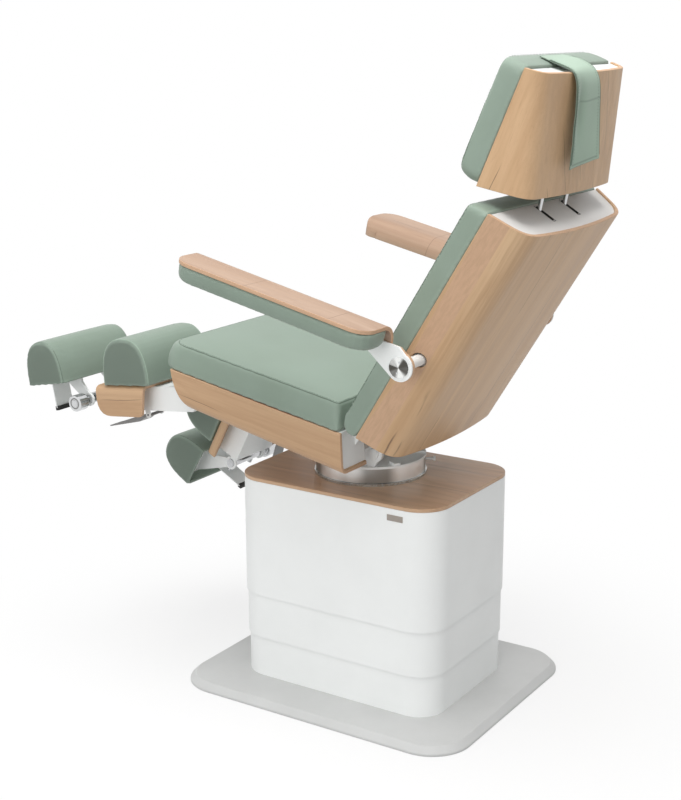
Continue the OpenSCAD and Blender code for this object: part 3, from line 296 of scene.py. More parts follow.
def plyEdge(name, place, across):
    # the cut edge of the bent sheet: layer runs from 0 inside to 1 outside, and the core plies are redder
    axis = direction(place, across)
    light, dark = plies["light"], plies["dark"]

    def layers(start, point):
        grain = point.stretched(scaled(direction(place, "x"), 60.0), scaled(axis, 60.0), (0, 0, 14.0))
        grain = grain.cloud(3.0, 5.0, 0.6, 0.4)
        fibre = point.cloud(900.0, 3.0, 0.6)
        layer = start.reading("layer") + (grain - 0.5) * 0.08
        band = ((layer * plies["count"]).fraction() - 0.5).size() * 2.0
        core = (layer - plies["core"]).size().between(0.16, 0.3, 1.0, 0.0)
        colour = grain.between(0.3, 0.7).blend(light, darker(light, 0.88))
        colour = (core * 0.75).blend(colour, dark)
        colour = (band.between(0.45, 0.8) * 0.22).blend(colour, darker(dark, 0.7))
        colour = (fibre.between(0.5, 0.75) * 0.2).blend(colour, darker(dark, 0.6))
        return {"Base Color": colour, "Roughness": grain.between(0.3, 0.7, 0.5, 0.65),
                "Normal": start.bumps(fibre, 0.3, 0.0003)}

    return finish(name, layers)


wornTone = tone(174, 190, 177)


def hide(name, colour, low, high, grainSize=900.0):
    # artificial leather: pebbled grain and faint mottling; painted shade darkens the seams and the ends of
    # the rolls, worn edges paler
    def skin(start, point):
        pebble = point.cells(grainSize, "F1")
        crease = point.cells(grainSize * 0.62, "DISTANCE_TO_EDGE")
        mottle = point.cloud(7.0, 5.0, 0.55)
        fine = point.cloud(160.0, 3.0, 0.6)
        worn = start.reading("worn")
        base = mottle.between(0.3, 0.7).blend(low, high)
        base = (fine.between(0.45, 0.8) * 0.16).blend(base, high)
        # painted shade: the ends of the rolls are darkened
        base = (start.reading("panel") * 0.75).blend(base, darker(colour, 0.5))
        base = (worn * 0.22).blend(base, wornTone)
        # painted shade along the seams, and on the strap in its grooves, along its edges and in its hollow
        base = (start.reading("seam") * 0.72).blend(base, darker(colour, 0.28))
        rough = mottle.between(0.3, 0.7, 0.46, 0.56) + worn * -0.06
        height = crease.between(0.0, 0.22) * 0.5 + pebble.between(0.0, 0.8) * -0.35 + fine * 0.25
        return {"Base Color": base, "Roughness": rough, "Normal": start.bumps(height, 0.22, 0.0005)}

    return finish(name, skin, Specular_IOR_Level=0.42, Sheen_Weight=0.12, Sheen_Roughness=0.4)


sage = hide("sageHide", tone(136, 152, 138), tone(132, 148, 134), tone(139, 155, 142))
# a paler copy of the hide for the piping beads: painted highlight on their round edge
sageBeadLit = hide("sageBeadLitHide", tone(158, 178, 161), tone(150, 170, 153), tone(162, 182, 165), 1300.0)
# a darker copy of the hide for the fold cords at seams and hems: painted shade in those creases
sageFoldShade = hide("sageFoldShadeHide", tone(74, 90, 77), tone(70, 86, 73), tone(80, 96, 83), 1300.0)
# a paler copy of the hide for the head strap: painted light falling on it from above
sageStrapLit = hide("sageStrapLitHide", tone(164, 185, 167), tone(158, 179, 161), tone(168, 189, 171), 1100.0)


def coat(name, low, high, grain=1400.0, rough=(0.34, 0.44), bump=0.12):
    # powder coat: orange peel, a trace of dust that dulls it in places
    def paint(start, point):
        peel = point.cells(grain, "SMOOTH_F1")
        dust = point.cloud(5.0, 6.0, 0.6)
        speck = point.cloud(700.0, 2.0, 0.5)
        colour = dust.between(0.3, 0.75).blend(high, low)
        colour = (speck.between(0.62, 0.8) * 0.06).blend(colour, darker(low, 0.7))
        gloss = dust.between(0.3, 0.75, rough[0], rough[1])
        return {"Base Color": colour, "Roughness": gloss, "Normal": start.bumps(peel, bump, 0.0003)}

    return finish(name, paint, Specular_IOR_Level=0.45)


whiteCoat = coat("whitePowderCoat", tone(244, 246, 245), tone(248, 250, 249))
plateCoat = coat("floorPlateCoat", tone(200, 201, 200), tone(207, 208, 207), 900.0, (0.36, 0.5), 0.2)
leverCoat = coat("leverGreyCoat", tone(132, 131, 130), tone(146, 145, 144))
capPlastic = coat("capGreyPlastic", tone(226, 224, 221), tone(234, 232, 229), 700.0, (0.4, 0.5), 0.16)
whitePlastic = coat("whiteCapPlastic", tone(224, 226, 225), tone(232, 234, 233), 700.0, (0.4, 0.5), 0.16)
badgeCoat = coat("badgeGrey", tone(150, 141, 132), tone(164, 155, 146), 800.0, (0.3, 0.4), 0.1)


brushing = {"along": 30, "across": 1800}
turnMarks = 2600.0


def metal(name, low, high, rough, lines=(0, 0, 1), turned=None):
    # lines: direction of the brushing; turned: centre and axis of lathe marks
    def polish(start, point):
        smear = point.cloud(24.0, 5.0, 0.6)
        if turned:
            centre, axis = turned
            off = point.shift(centre)
            rings = [off.length() * turnMarks, off.along(axis) * turnMarks, 0.0]
            marks = start.node("ShaderNodeCombineXYZ", {}, rings).cloud(1.0, 2.0, 0.5)
        else:
            axis = Vector(lines).normalized()
            first = axis.orthogonal().normalized()
            second = axis.cross(first)
            scales = ((axis, brushing["along"]), (first, brushing["across"]), (second, brushing["across"]))
            marks = point.stretched(*(tuple(side * scale) for side, scale in scales)).cloud(1.0, 3.0, 0.6)
        colour = (smear.between(0.3, 0.7) * 0.6 + marks * 0.4).blend(low, high)
        gloss = (smear.between(0.25, 0.75) * 0.5 + marks * 0.5).between(0.2, 0.8, rough[0], rough[1])
        return {"Base Color": colour, "Roughness": gloss, "Normal": start.bumps(marks, 0.08, 0.0002)}

    return finish(name, polish, Metallic=1.0)


chrome = metal("polishedChrome", tone(188, 189, 190), tone(214, 215, 216), (0.08, 0.2))
knobChrome = metal("knobChrome", tone(196, 197, 198), tone(228, 229, 230), (0.16, 0.28))
steelRod = metal("brightRod", tone(170, 171, 172), tone(206, 207, 208), (0.12, 0.24), (1, 0, 0))
castAluminium = metal("castAluminium", tone(176, 176, 174), tone(206, 206, 204), (0.32, 0.5))


def reflectionBandSteel(name, centre, place, across, along, spec):
    # turned steel: soft dark and bright bands that run out from the axis, painted reflections and
    # highlights of a lathe-turned face
    count, turn, rough = spec["bands"], spec["turn"], spec["rough"]

    def polish(start, point):
        off = point.shift(centre)
        first, second = off.along(direction(place, across)), off.along(direction(place, along))
        angle = first.sums("ARCTAN2", second, first)
        wave = (angle * count + turn).cosine()
        blur = (angle * (count * 2.3) + turn * 5).cosine()
        smear = point.cloud(30.0, 3.0, 0.5)
        colour = wave * 0.6 + blur * 0.25 + smear * 0.3 + 0.35
        colour = colour.between(0.0, 1.1).blend(spec["dark"], spec["bright"])
        return {"Base Color": colour, "Roughness": smear.between(0.3, 0.7, rough, rough + 0.08)}

    return finish(name, polish, Metallic=0.85)


def rubber(start, point):
    grit = point.cloud(420.0, 4.0, 0.6)
    colour = grit.between(0.3, 0.75).blend(tone(34, 35, 34), tone(58, 58, 56))
    return {"Base Color": colour, "Roughness": grit.between(0.3, 0.7, 0.62, 0.8),
            "Normal": start.bumps(grit, 0.4, 0.0004)}


blackRubber = finish("blackRubber", rubber)


def thread(start, point):
    twist = point.cloud(1500.0, 2.0, 0.5)
    return {"Base Color": twist.between(0.3, 0.7).blend(tone(92, 108, 94), tone(128, 145, 130)),
            "Roughness": 0.7, "Normal": start.bumps(twist, 0.5, 0.0002)}


stitchThread = finish("stitchThread", thread)


# Meshes
def added(name, data):
    piece = bpy.data.objects.new(name, data)
    bpy.context.scene.collection.objects.link(piece)
    return piece


def meshOf(name, points, faces, material=None):
    data = bpy.data.meshes.new(name)
    data.from_pydata([tuple(p) for p in points], [], faces)
    data.update()
    piece = added(name, data)
    if material:
        data.materials.append(material)
    return piece


def smoothed(piece, angle):
    data = piece.data
    data.polygons.foreach_set("use_smooth", [True] * len(data.polygons))
    data.set_sharp_from_angle(angle=radians(angle))
    return piece


def applied(piece):  # the mesh as its modifiers leave it
    graph = bpy.context.evaluated_depsgraph_get()
    graph.update()
    data = bpy.data.meshes.new_from_object(piece.evaluated_get(graph))
    piece.modifiers.clear()
    old, piece.data = piece.data, data
    bpy.data.meshes.remove(old)
    return piece


def refined(piece):
    subdivision = piece.modifiers.new("fine", "SUBSURF")
    subdivision.levels = subdivision.render_levels = 1
    return applied(piece)


def numbersOf(items, name, width, kind=float):
    flat = np.empty(len(items) * width, kind)
    items.foreach_get(name, flat)
    return flat.reshape(-1, width)


def pointsOf(data):
    return numbersOf(data.vertices, "co", 3)


def normalsOf(data):
    return numbersOf(data.vertex_normals, "vector", 3)


def edgesOf(data):
    return numbersOf(data.edges, "vertices", 2, int)


def setPoints(data, points):
    data.vertices.foreach_set("co", np.asarray(points, float).ravel())
    data.update()


def painted(data, name, values=None):  # a number at each point, for the materials; 0 where none is given
    layer = data.attributes.get(name) or data.attributes.new(name, "FLOAT", "POINT")
    if values is not None:
        layer.data.foreach_set("value", np.asarray(values, np.float32))


def cadCopy(node, name, weld=0.00002):
    work = bmesh.new()
    work.from_mesh(nodes[node].data)
    bmesh.ops.remove_doubles(work, verts=work.verts, dist=weld)
    data = bpy.data.meshes.new(name)
    work.to_mesh(data)
    work.free()
    return added(name, data)


def bodyOf(node):
    return nodes[node]["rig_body"]


def dressed(node, material):
    for slot in nodes[node].material_slots:
        slot.material = material


def markLayers(piece):  # 1 on the outside of a bent sheet, 0 on its inside
    data = piece.data
    points, outward = pointsOf(data), np.zeros((len(data.vertices), 3))
    for polygon in data.polygons:
        if polygon.material_index == 0:
            outward[list(polygon.vertices)] += np.array(polygon.normal)
    centre = (points.min(0) + points.max(0)) / 2
    painted(data, "layer", (outward * (points - centre)).sum(1) > 0)


edging = {"flat": 0.4, "sharp": 34, "inset": 0.0002}


def softened(node, width, materials, thickness=0.0, segments=3):
    # the CAD form with its sharp edges rounded; faces across a sheet's thickness take the second material
    piece = cadCopy(node, node + "_made")
    work = bmesh.new()
    work.from_mesh(piece.data)
    bmesh.ops.dissolve_limit(work, angle_limit=radians(edging["flat"]), verts=work.verts, edges=work.edges)
    sharp = radians(edging["sharp"])
    edges = [e for e in work.edges if len(e.link_faces) == 2 and e.calc_face_angle(0.0) > sharp]
    bmesh.ops.bevel(work, geom=edges, offset=width, segments=segments, profile=0.5, affect="EDGES",
                    clamp_overlap=False, miter_outer="ARC")
    work.normal_update()
    work.to_mesh(piece.data)
    for material in materials:
        piece.data.materials.append(material)
    if thickness:
        tree = BVHTree.FromBMesh(work)
        for face, polygon in zip(work.faces, piece.data.polygons):
            start = face.calc_center_median() - face.normal * edging["inset"]
            hit = tree.ray_cast(start, -face.normal)[3]
            polygon.material_index = 0 if hit is not None and hit < thickness * 1.3 else 1
        markLayers(piece)
    work.free()
    smoothed(piece, 50)
    modifier = piece.modifiers.new("evenShading", "WEIGHTED_NORMAL")
    modifier.keep_sharp = True
    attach(piece, bodyOf(node))
    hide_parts(node)
    return piece


# Camera, floor and light
camera = {
    "place": (2.974, 1.837, 1.644), "yaw": 33.10, "pitch": 14.62, "roll": -0.244,
    "lens": 65.62, "sensor": 36.0,
}


def aimed(place, yaw, pitch, roll):
    yaw, pitch, roll = radians(yaw), radians(pitch), radians(roll)
    ahead = Vector((-cos(yaw) * cos(pitch), -sin(yaw) * cos(pitch), -sin(pitch)))
    right = Vector((-sin(yaw), cos(yaw), 0))
    up = right.cross(ahead)
    across = cos(roll) * right + sin(roll) * up
    above = -sin(roll) * right + cos(roll) * up
    turn = Matrix((across, above, -ahead)).transposed()
    return Matrix.Translation(place) @ turn.to_4x4()


def setCamera():
    data = bpy.data.cameras.new("view")
    data.sensor_width, data.sensor_fit, data.lens = camera["sensor"], "AUTO", camera["lens"]
    eye = added("view", data)
    eye.matrix_world = aimed(camera["place"], camera["yaw"], camera["pitch"], camera["roll"])
    bpy.context.scene.camera = eye


setCamera()
studio = {
    "sky": 0.5, "lean": (0.1, -0.1, 0.35),
    "lamps": [
        {"place": (0.6, 0.2, 4.2), "aim": (0, 0, 0.8), "size": 3.4, "power": 108},
        {"place": (4.4, 0.6, 1.8), "aim": (0.1, 0.1, 0.9), "size": 2.6, "power": 52},
    ],
}
# what the camera sees of the floor keeps the chair's shadow near the base and is white further out
ground = {"half": 30, "bounce": 0.5, "pale": 0.9, "shadeEnds": (0.55, 1.3), "shadeShare": 0.7}


def seenDirectly(start):  # 1 where the camera sees a thing itself, in a mirror or through glass
    names = ("Is Camera Ray", "Is Glossy Ray", "Is Transmission Ray")
    straight, mirrored, through = (start.node("ShaderNodeLightPath", {}, (), name) for name in names)
    return straight.largest(mirrored).largest(through)


def setSky():
    world = bpy.data.worlds.new("studio")
    bpy.context.scene.world = world
    world.use_nodes = True
    tree = world.node_tree
    start = Shade(tree)
    seen = seenDirectly(start)
    level = start.node("ShaderNodeTexCoord", {}, (), "Generated").along(studio["lean"]) + 1.0
    level = level * studio["sky"] * (1.0 - seen) + seen
    tree.links.new(level.plug, tree.nodes["Background"].inputs["Strength"])
    tree.nodes["Background"].inputs["Color"].default_value = (1, 1, 1, 1)


def setLamps():
    for number, spec in enumerate(studio["lamps"]):
        data = bpy.data.lights.new("softbox%d" % number, "AREA")
        data.shape, data.size, data.energy = "DISK", spec["size"], spec["power"]
        lamp = added(data.name, data)
        lamp.location = spec["place"]
        ray = Vector(spec["aim"]) - Vector(spec["place"])
        lamp.rotation_euler = ray.to_track_quat("-Z", "Y").to_euler()
        lamp.visible_camera = lamp.visible_glossy = False


def setFloor():
    half = ground["half"]
    corners = [(-half, -half, 0), (half, -half, 0), (half, half, 0), (-half, half, 0)]
    floor = meshOf("floor", corners, [(0, 1, 2, 3)])
    material = emptyMaterial("paleFloor")
    tree = material.node_tree
    tree.nodes.remove(tree.nodes["Principled BSDF"])
    start = Shade(tree)
    far = start.node("ShaderNodeTexCoord", {}, (), "Object").length()
    greys = [(level, level, level, 1) for level in (ground["bounce"], ground["pale"])]
    bounce, near = (start.node("ShaderNodeBsdfDiffuse", {}, {"Color": grey}) for grey in greys)
    white = start.node("ShaderNodeEmission", {}, {"Color": (1, 1, 1, 1), "Strength": 1.0})
    share = far.between(*ground["shadeEnds"], ground["shadeShare"], 1.0)
    shown = start.node("ShaderNodeMixShader", {}, [share, near, white])
    both = start.node("ShaderNodeMixShader", {}, [seenDirectly(start), bounce, shown])
    tree.links.new(both.plug, tree.nodes["Material Output"].inputs["Surface"])
    floor.data.materials.append(material)


bpy.context.scene.view_settings.view_transform = "Standard"
setSky()
setLamps()
setFloor()
print("camera and studio set")

# Wooden shells
# edge radius in millimetres, group, the axes along and across the grain and through the sheet, look, seed
shells = {
    "back_shell": (1.4, "back", "z", "x", "y", oakLook, 1.0),
    "head_shell": (1.4, "head", "z", "x", "y", oakLook, 4.0),
    "seat_shell": (1.4, "seat", "y", "x", "z", seatLook, 8.0),
    "arm_wood_left": (1.2, "arm", "y", "x", "z", armLook, 12.0),
    "arm_wood_right": (1.2, "arm", "y", "x", "z", armLook, 17.0),
    "leg_board_left": (1.2, "legLeft", "y", "x", "z", seatLook, 21.0),
    "leg_board_right": (1.2, "legRight", "y", "x", "z", seatLook, 26.0),
}
sheetThickness = 9 * mm
for node, (width, place, along, across, through, look, seed) in shells.items():
    face = oak(node + "Oak", place, along, across, through, look, seed)
    softened(node, width * mm, [face, plyEdge(node + "Edge", place, through)], sheetThickness)
softened("deck", 1.6 * mm, [oak("deckOak", "row", "y", "x", "z", deckLook, 31.0)])
print("wooden shells made")

# Base, turntable and metalwork
# edge radius in millimetres, number of steps around an edge, material
rounded = {
    "floor_plate": (2.0, 3, plateCoat), "turn_plate": (0.8, 3, whiteCoat),
    "back_cap": (0.6, 2, capPlastic), "head_cap": (0.6, 2, whitePlastic),
}
rounded.update({"cover_" + stage: (0.25, 1, whiteCoat) for stage in ("inner", "mid", "outer")})
sheetParts = ("yoke", "lock_handle", "seat_frame", "back_frame", "head_frame")
rounded.update({node: (0.6, 2, whiteCoat) for node in sheetParts})
pairs = {
    "arm_bracket_": (0.7, 2, whiteCoat), "leg_channel_": (0.8, 2, whiteCoat),
    "foot_plate_": (0.7, 2, whiteCoat), "leg_lever_": (0.5, 2, leverCoat),
    "foot_bumper_": (1.5, 3, blackRubber), "foot_knob_": (2.4, 3, knobChrome),
}
rounded.update({name + side: spec for name, spec in pairs.items() for side in sides})
for node, (width, steps, material) in rounded.items():
    softened(node, width * mm, [material], 0.0, steps)

# painted reflection: dark and bright bands round the drum
drum = {
    "centre": (0, -0.012, 0.55), "bands": 4.0, "turn": 0.6, "rough": 0.3,
    "dark": tone(158, 156, 152), "bright": tone(252, 252, 251),
}
softened("turn_drum", 0.8 * mm, [reflectionBandSteel("drumReflectionSteel", drum["centre"], "row", "x", "y", drum)])
upright = (drum["centre"], (0, 0, 1))
ringSteel = metal("ringSteel", tone(176, 178, 176), tone(205, 207, 205), (0.2, 0.34), turned=upright)
dressed("turn_ring", ringSteel)
for node in ("column_outer", "column_mid", "column_inner", "leg_shaft"):
    dressed(node, castAluminium)
dressed("head_rods", chrome)
# painted reflection: dark and bright wedges on the disc's turned face
disc = {
    "x": 0.357, "bands": 2.0, "turn": 2.2, "rough": 0.22,
    "dark": tone(84, 82, 77), "bright": tone(244, 245, 243),
}
for side, sign in sides.items():
    hub = tuple(places["arm"] @ Vector((sign * disc["x"], 0, 0)))
    dressed("arm_disc_" + side, reflectionBandSteel("discReflectionSteel" + side, hub, "arm", "y", "z", disc))
    dressed("foot_rails_" + side, steelRod)
print("metalwork dressed")


# Padding
def placed(place, points):  # millimetres in a group's frame, to metres in the row frame
    return [places[place] @ (Vector(p) * mm) for p in points]


def bell(value, middle, width):  # 1 at the middle, falling off smoothly to both sides
    return np.exp(-((value - middle) / width) ** 2)


def evenOut(points, links, passes, share=0.5):
    # each point goes towards the middle of its neighbours; every second pass gives back what that shrank
    first, second = links[:, 0], links[:, 1]
    count = np.bincount(links.ravel(), minlength=len(points))[:, None]
    for turn in range(passes):
        step = share if turn % 2 == 0 else -share * 1.04
        total = np.zeros_like(points)
        np.add.at(total, first, points[second])
        np.add.at(total, second, points[first])
        points = points + (total / np.maximum(count, 1) - points) * step
    return points


cover = {"quality": 3, "mass": 0.4, "bending_stiffness": 2.0, "use_pressure": True}
simulated = {"frames": 20, "blends": 4}


def inflated(piece, spec, held):
    # a foam pad in its cover: air pressure lifts the free faces, the faces that rest on something stay
    data = piece.data
    start = pointsOf(data)
    group = piece.vertex_groups.new(name="held")
    group.add([int(i) for i in np.nonzero(held)[0]], 1.0, "REPLACE")
    modifier = piece.modifiers.new("cover", "CLOTH")
    modifier.collision_settings.use_collision = False
    settings = modifier.settings
    for name, value in cover.items():
        setattr(settings, name, value)
    settings.tension_stiffness = settings.compression_stiffness = spec["stiff"]
    settings.shear_stiffness = spec["stiff"] * 0.5
    settings.uniform_pressure_force = spec["pressure"]
    settings.effector_weights.gravity = 0.0
    settings.vertex_group_mass = "held"
    scene = bpy.context.scene
    for number in range(1, simulated["frames"] + 1):
        scene.frame_set(number)
    applied(piece)
    scene.frame_set(1)
    moved = pointsOf(piece.data) - start
    far = np.linalg.norm(moved, axis=1, keepdims=True)
    moved *= np.minimum(1.0, spec["cap"] / np.maximum(far, 1e-9))
    moved[held] = 0.0
    links = edgesOf(piece.data)
    for turn in range(simulated["blends"]):  # the way from held to free skin is a slope, not a step
        moved = evenOut(moved, links, 1)
        moved[held] = 0.0
    setPoints(piece.data, start + moved)


def rim(halves, low, high, radii, steps=8):
    # closed outline of a padded block with round corners; halves and radii are given at low, then at high
    path = []
    for corner in range(4):
        end = 0 if corner > 1 else 1
        half, radius = halves[end], radii[end]
        x = half - radius if corner in (0, 3) else radius - half
        y = high - radius if corner < 2 else low + radius
        for i in range(steps + 1):
            a = radians((corner + i / steps) * 90)
            path.append((x + radius * cos(a), y + radius * sin(a)))
    return path + path[:1]


def spaced(path, step=0.003):  # points at about even steps along a path, without its last one
    even = []
    for first, second in zip(path, path[1:]):
        count = max(1, int((second - first).length / step))
        even += [first.lerp(second, i / count) for i in range(count)]
    return even


def distances(points, spots, batch=40):  # from each point to the nearest spot, some spots at a time
    spots = np.array([tuple(spot) for spot in spots])
    far = np.full(len(points), np.inf)
    for part in np.array_split(spots, max(1, len(spots) // batch)):
        far = np.minimum(far, np.linalg.norm(points[:, None] - part[None], axis=2).min(1))
    return far


def padFrom(node, spec):
    piece = cadCopy(node, node + "_soft")
    remesh = piece.modifiers.new("skin", "REMESH")
    remesh.mode, remesh.voxel_size = "VOXEL", spec["voxel"]
    applied(piece)
    data = piece.data
    shape = evenOut(pointsOf(data), edgesOf(data), spec["smooth"])
    setPoints(data, shape)
    local = np.array(places[spec["place"]].inverted())
    turn, shift = local[:3, :3], local[:3, 3]
    seen = shape @ turn.T + shift
    if "raise" in spec:
        seen = spec["raise"](seen)
        shape = (seen - shift) @ turn
        setPoints(data, shape)
    held = spec["held"](seen)
    if "seams" in spec:
        spots = [spot for path in spec["seams"] for spot in spaced(placed(spec["place"], path))]
        held = held | (distances(shape, spots) < spec["voxel"] * 0.8)
    shape = shape - normalsOf(data) * spec["slack"] * (~held[:, None])
    setPoints(data, shape)
    inflated(piece, spec, held)
    smoothed(refined(piece), 180)
    for name in ("seam", "worn", "panel"):
        painted(piece.data, name)
    piece.data.materials.append(sage)
    markWear(piece.data)
    if spec.get("shadedEnds"):  # painted shade: the roll's end faces, which point sideways, are darkened
        outward = normalsOf(piece.data) @ turn.T
        painted(piece.data, "panel", np.clip(np.abs(outward[:, 0]) ** 6, 0, 1))
    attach(piece, bodyOf(node))
    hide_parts(node)
    return piece


def markWear(data, gain=9000):  # where the skin bends most it is polished paler
    shape, links = pointsOf(data), edgesOf(data)
    flat = evenOut(shape, links, 1) - shape
    bend = np.clip(-(flat * normalsOf(data)).sum(1) * gain, 0, 1)[:, None]
    for turn in range(3):
        bend = evenOut(bend, links, 1)
    painted(data, "worn", np.clip(bend[:, 0], 0, 1))


def laidOn(piece, path):  # a path in the row frame, spaced evenly on the skin, with the skin's normals
    data = piece.data
    faces = [tuple(polygon.vertices) for polygon in data.polygons]
    tree = BVHTree.FromPolygons([tuple(p) for p in pointsOf(data)], faces)
    found = [tree.find_nearest(p) for p in spaced(path) + [path[-1]]]
    return [(place, normal) for place, normal, index, far in found]


def pressed(piece, laid, reach, depth, shade):  # a seam draws the skin in, and painted shade darkens the skin along it
    data = piece.data
    shape, out = pointsOf(data), normalsOf(data)
    line = np.array([tuple(place) for place, normal in laid])
    low, high = line.min(0) - reach * 3, line.max(0) + reach * 3
    near = np.nonzero(((shape > low) & (shape < high)).all(1))[0]
    share = bell(distances(shape[near], line), 0.0, reach)
    shape[near] -= out[near] * (share * depth)[:, None]
    setPoints(data, shape)
    # the seam layer holds painted shade
    seam = numbersOf(data.attributes["seam"].data, "value", 1, np.float32)[:, 0]
    seam[near] = np.maximum(seam[near], share * shade)
    painted(data, "seam", seam)


def ringOf(middle, across, up, radius, facets):
    angles = [2 * pi * k / facets for k in range(facets)]
    return [middle + (across * cos(a) + up * sin(a)) * radius for a in angles]


def tubeFaces(base, rings, facets, sign=1):  # the skin and both ends of a tube whose points start at base
    faces = []
    for start in range(base, base + (rings - 1) * facets, facets):
        for k in range(facets):
            a, b = start + k, start + (k + 1) % facets
            faces.append((a, b, b + facets, a + facets)[::sign])
    last = base + (rings - 1) * facets
    return faces + [tuple(range(base, base + facets))[::-sign], tuple(range(last, last + facets))[::sign]]


stitch = {
    "facets": 6, "radius": 0.0005, "length": 0.36, "sink": 1.6,
    # along the half length, share of the sink, share of the radius
    "shape": [(-1, 1.0, 0.4), (-0.7, 0.25, 0.9), (0, 0, 1), (0.7, 0.25, 0.9), (1, 1.0, 0.4)],
}


def stitchRow(name, laid, body, offset, pitch=0.006, rise=0.0004):
    # a row of stitches beside a laid path: short threads that dip into the skin at both ends
    radius, points, faces = stitch["radius"], [], []
    walk, nextAt, last = 0.0, 0.0, laid[0][0]
    for (place, normal), (ahead, other) in zip(laid, laid[1:]):
        walk += (place - last).length
        last = place
        if walk < nextAt:
            continue
        nextAt = walk + pitch
        along = (ahead - place).normalized()
        across = along.cross(normal).normalized()
        centre = place + across * offset + normal * rise
        faces += tubeFaces(len(points), len(stitch["shape"]), stitch["facets"])
        for reach, drop, wide in stitch["shape"]:
            sunk = normal * drop * radius * stitch["sink"]
            middle = centre + along * reach * pitch * stitch["length"] - sunk
            points += ringOf(middle, across, normal, radius * wide, stitch["facets"])
    piece = meshOf(name, points, faces, stitchThread)
    smoothed(piece, 60)
    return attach(piece, body)


def beadAlong(name, laid, body, radius, rise, material, facets=8):  # a thin round welt on a laid path
    points = []
    for i, (place, normal) in enumerate(laid):
        along = (laid[min(i + 1, len(laid) - 1)][0] - laid[max(i - 1, 0)][0]).normalized()
        across = along.cross(normal).normalized()
        up = across.cross(along)
        points += ringOf(place + up * rise, across, up, radius, facets)
    piece = meshOf(name, points, tubeFaces(0, len(laid), facets), material)
    smoothed(piece, 80)
    for layer in ("seam", "worn"):
        painted(piece.data, layer)
    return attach(piece, body)


def arch(x, start, length, height, base, share=0.99, steps=40, power=0.75):
    # the round outline of a roll's end, a little inside it
    path = []
    for i in range(steps + 1):
        c, t = cos(pi * i / steps), abs(sin(pi * i / steps))
        along = -start - length / 2 + (1 if c > 0 else -1) * abs(c) ** power * length / 2 * share
        path.append((x, along, base + t ** power * height * share))
    return path


def evened(laid, passes=4):  # a laid path without its small kinks
    spots = [place for place, normal in laid]
    for turn in range(passes):
        inner = [(a + b * 2 + c) / 4 for a, b, c in zip(spots, spots[1:], spots[2:])]
        spots = [spots[0]] + inner + [spots[-1]]
    return [(spot, normal) for spot, (place, normal) in zip(spots, laid)]


def sewn(piece, body, name, place, path, spec):
    # one seam: the skin is drawn in, and its fold cord (dark with painted shade), stitches or bead (pale
    # with painted highlight) lie on the line
    laid = laidOn(piece, placed(place, path))
    pressed(piece, laid, spec["reach"] * mm, spec["depth"] * mm, spec["shade"])
    laid = evened(laidOn(piece, placed(place, path)))
    if "fold" in spec:
        beadAlong(name + "_fold", laid, body, spec["fold"] * mm, spec["fold"] * -0.2 * mm, sageFoldShade)
    for number, offset in enumerate(spec.get("stitches", ())):
        stitchRow("%s_stitches%d" % (name, number), laid, body, offset * mm)
    if "bead" in spec:
        beadAlong(name + "_bead", laid, body, spec["bead"] * mm, spec["bead"] * 0.3 * mm, sageBeadLit)


topPanel = {
    "half": 0.262, "front": 0.525, "rear": 0.022, "lift": 0.0095, "crown": 0.004, "slope": 0.2,
    "low": 0.015, "climb": 0.04,
}


def raisedTop(seen):  # the seat's top panel stands higher than its foam block, with a crisp edge
    x, y, z = seen.T
    inset = np.minimum(y + topPanel["front"], -topPanel["rear"] - y)
    inset = np.minimum(topPanel["half"] - np.abs(x), inset)
    lift = topPanel["lift"] - topPanel["crown"] * np.clip(inset / topPanel["slope"], 0, 1)
    climb = np.clip((z - topPanel["low"]) / topPanel["climb"], 0, 1)
    return np.stack([x, y, z + lift * climb * climb * (3 - 2 * climb)], axis=1)


# how a pad is meshed and blown up, lengths in metres; held is where it rests on its shell or plate
foam = {"voxel": 0.0065, "smooth": 2, "slack": 0.001, "cap": 0.005, "pressure": 3.0, "stiff": 12.0}
rollFoam = {**foam, "voxel": 0.005, "cap": 0.003, "stiff": 15.0, "shadedEnds": True}
armFoam = {**foam, "voxel": 0.005, "slack": 0.0005, "cap": 0.002, "pressure": 2.0, "stiff": 15.0}
# a seam in millimetres: how wide and deep it draws the skin in, how much painted shade darkens it, its fold
# cord (dark with painted shade) and its stitches
panelSeam = {"reach": 2.4, "depth": 0.9, "shade": 0.25, "fold": 0.6, "stitches": (3.2,)}
flatPads = {
    "seat": {
        "rim": [(x, y, 65.6) for x, y in rim((261, 261), -523, -22.6, (45, 10))],
        "foam": {"raise": raisedTop, "held": lambda p: p[:, 2] < 0.008},
        "seam": {"reach": 2.4, "depth": 1.2, "shade": 0.5, "fold": 0.9, "stitches": (-3.2,)},
    },
    "back": {
        "rim": [(x, -56.3, z) for x, z in rim((269, 269), 24, 610, (14, 14))],
        "foam": {"held": lambda p: p[:, 1] > -0.008},
        "seam": panelSeam,
    },
    "head": {
        "rim": [(x, -58.3, z) for x, z in rim((228, 203), 12, 264, (24, 24))],
        "foam": {"voxel": 0.005, "smooth": 3, "held": lambda p: p[:, 1] > -0.006},
        "seam": panelSeam,
    },
}
for group, flat in flatPads.items():
    pad = padFrom(group + "_cushion", {**foam, **flat["foam"], "place": group, "seams": [flat["rim"]]})
    sewn(pad, group, group + "_seam", group, flat["rim"], flat["seam"])
    print(group + " pad made")

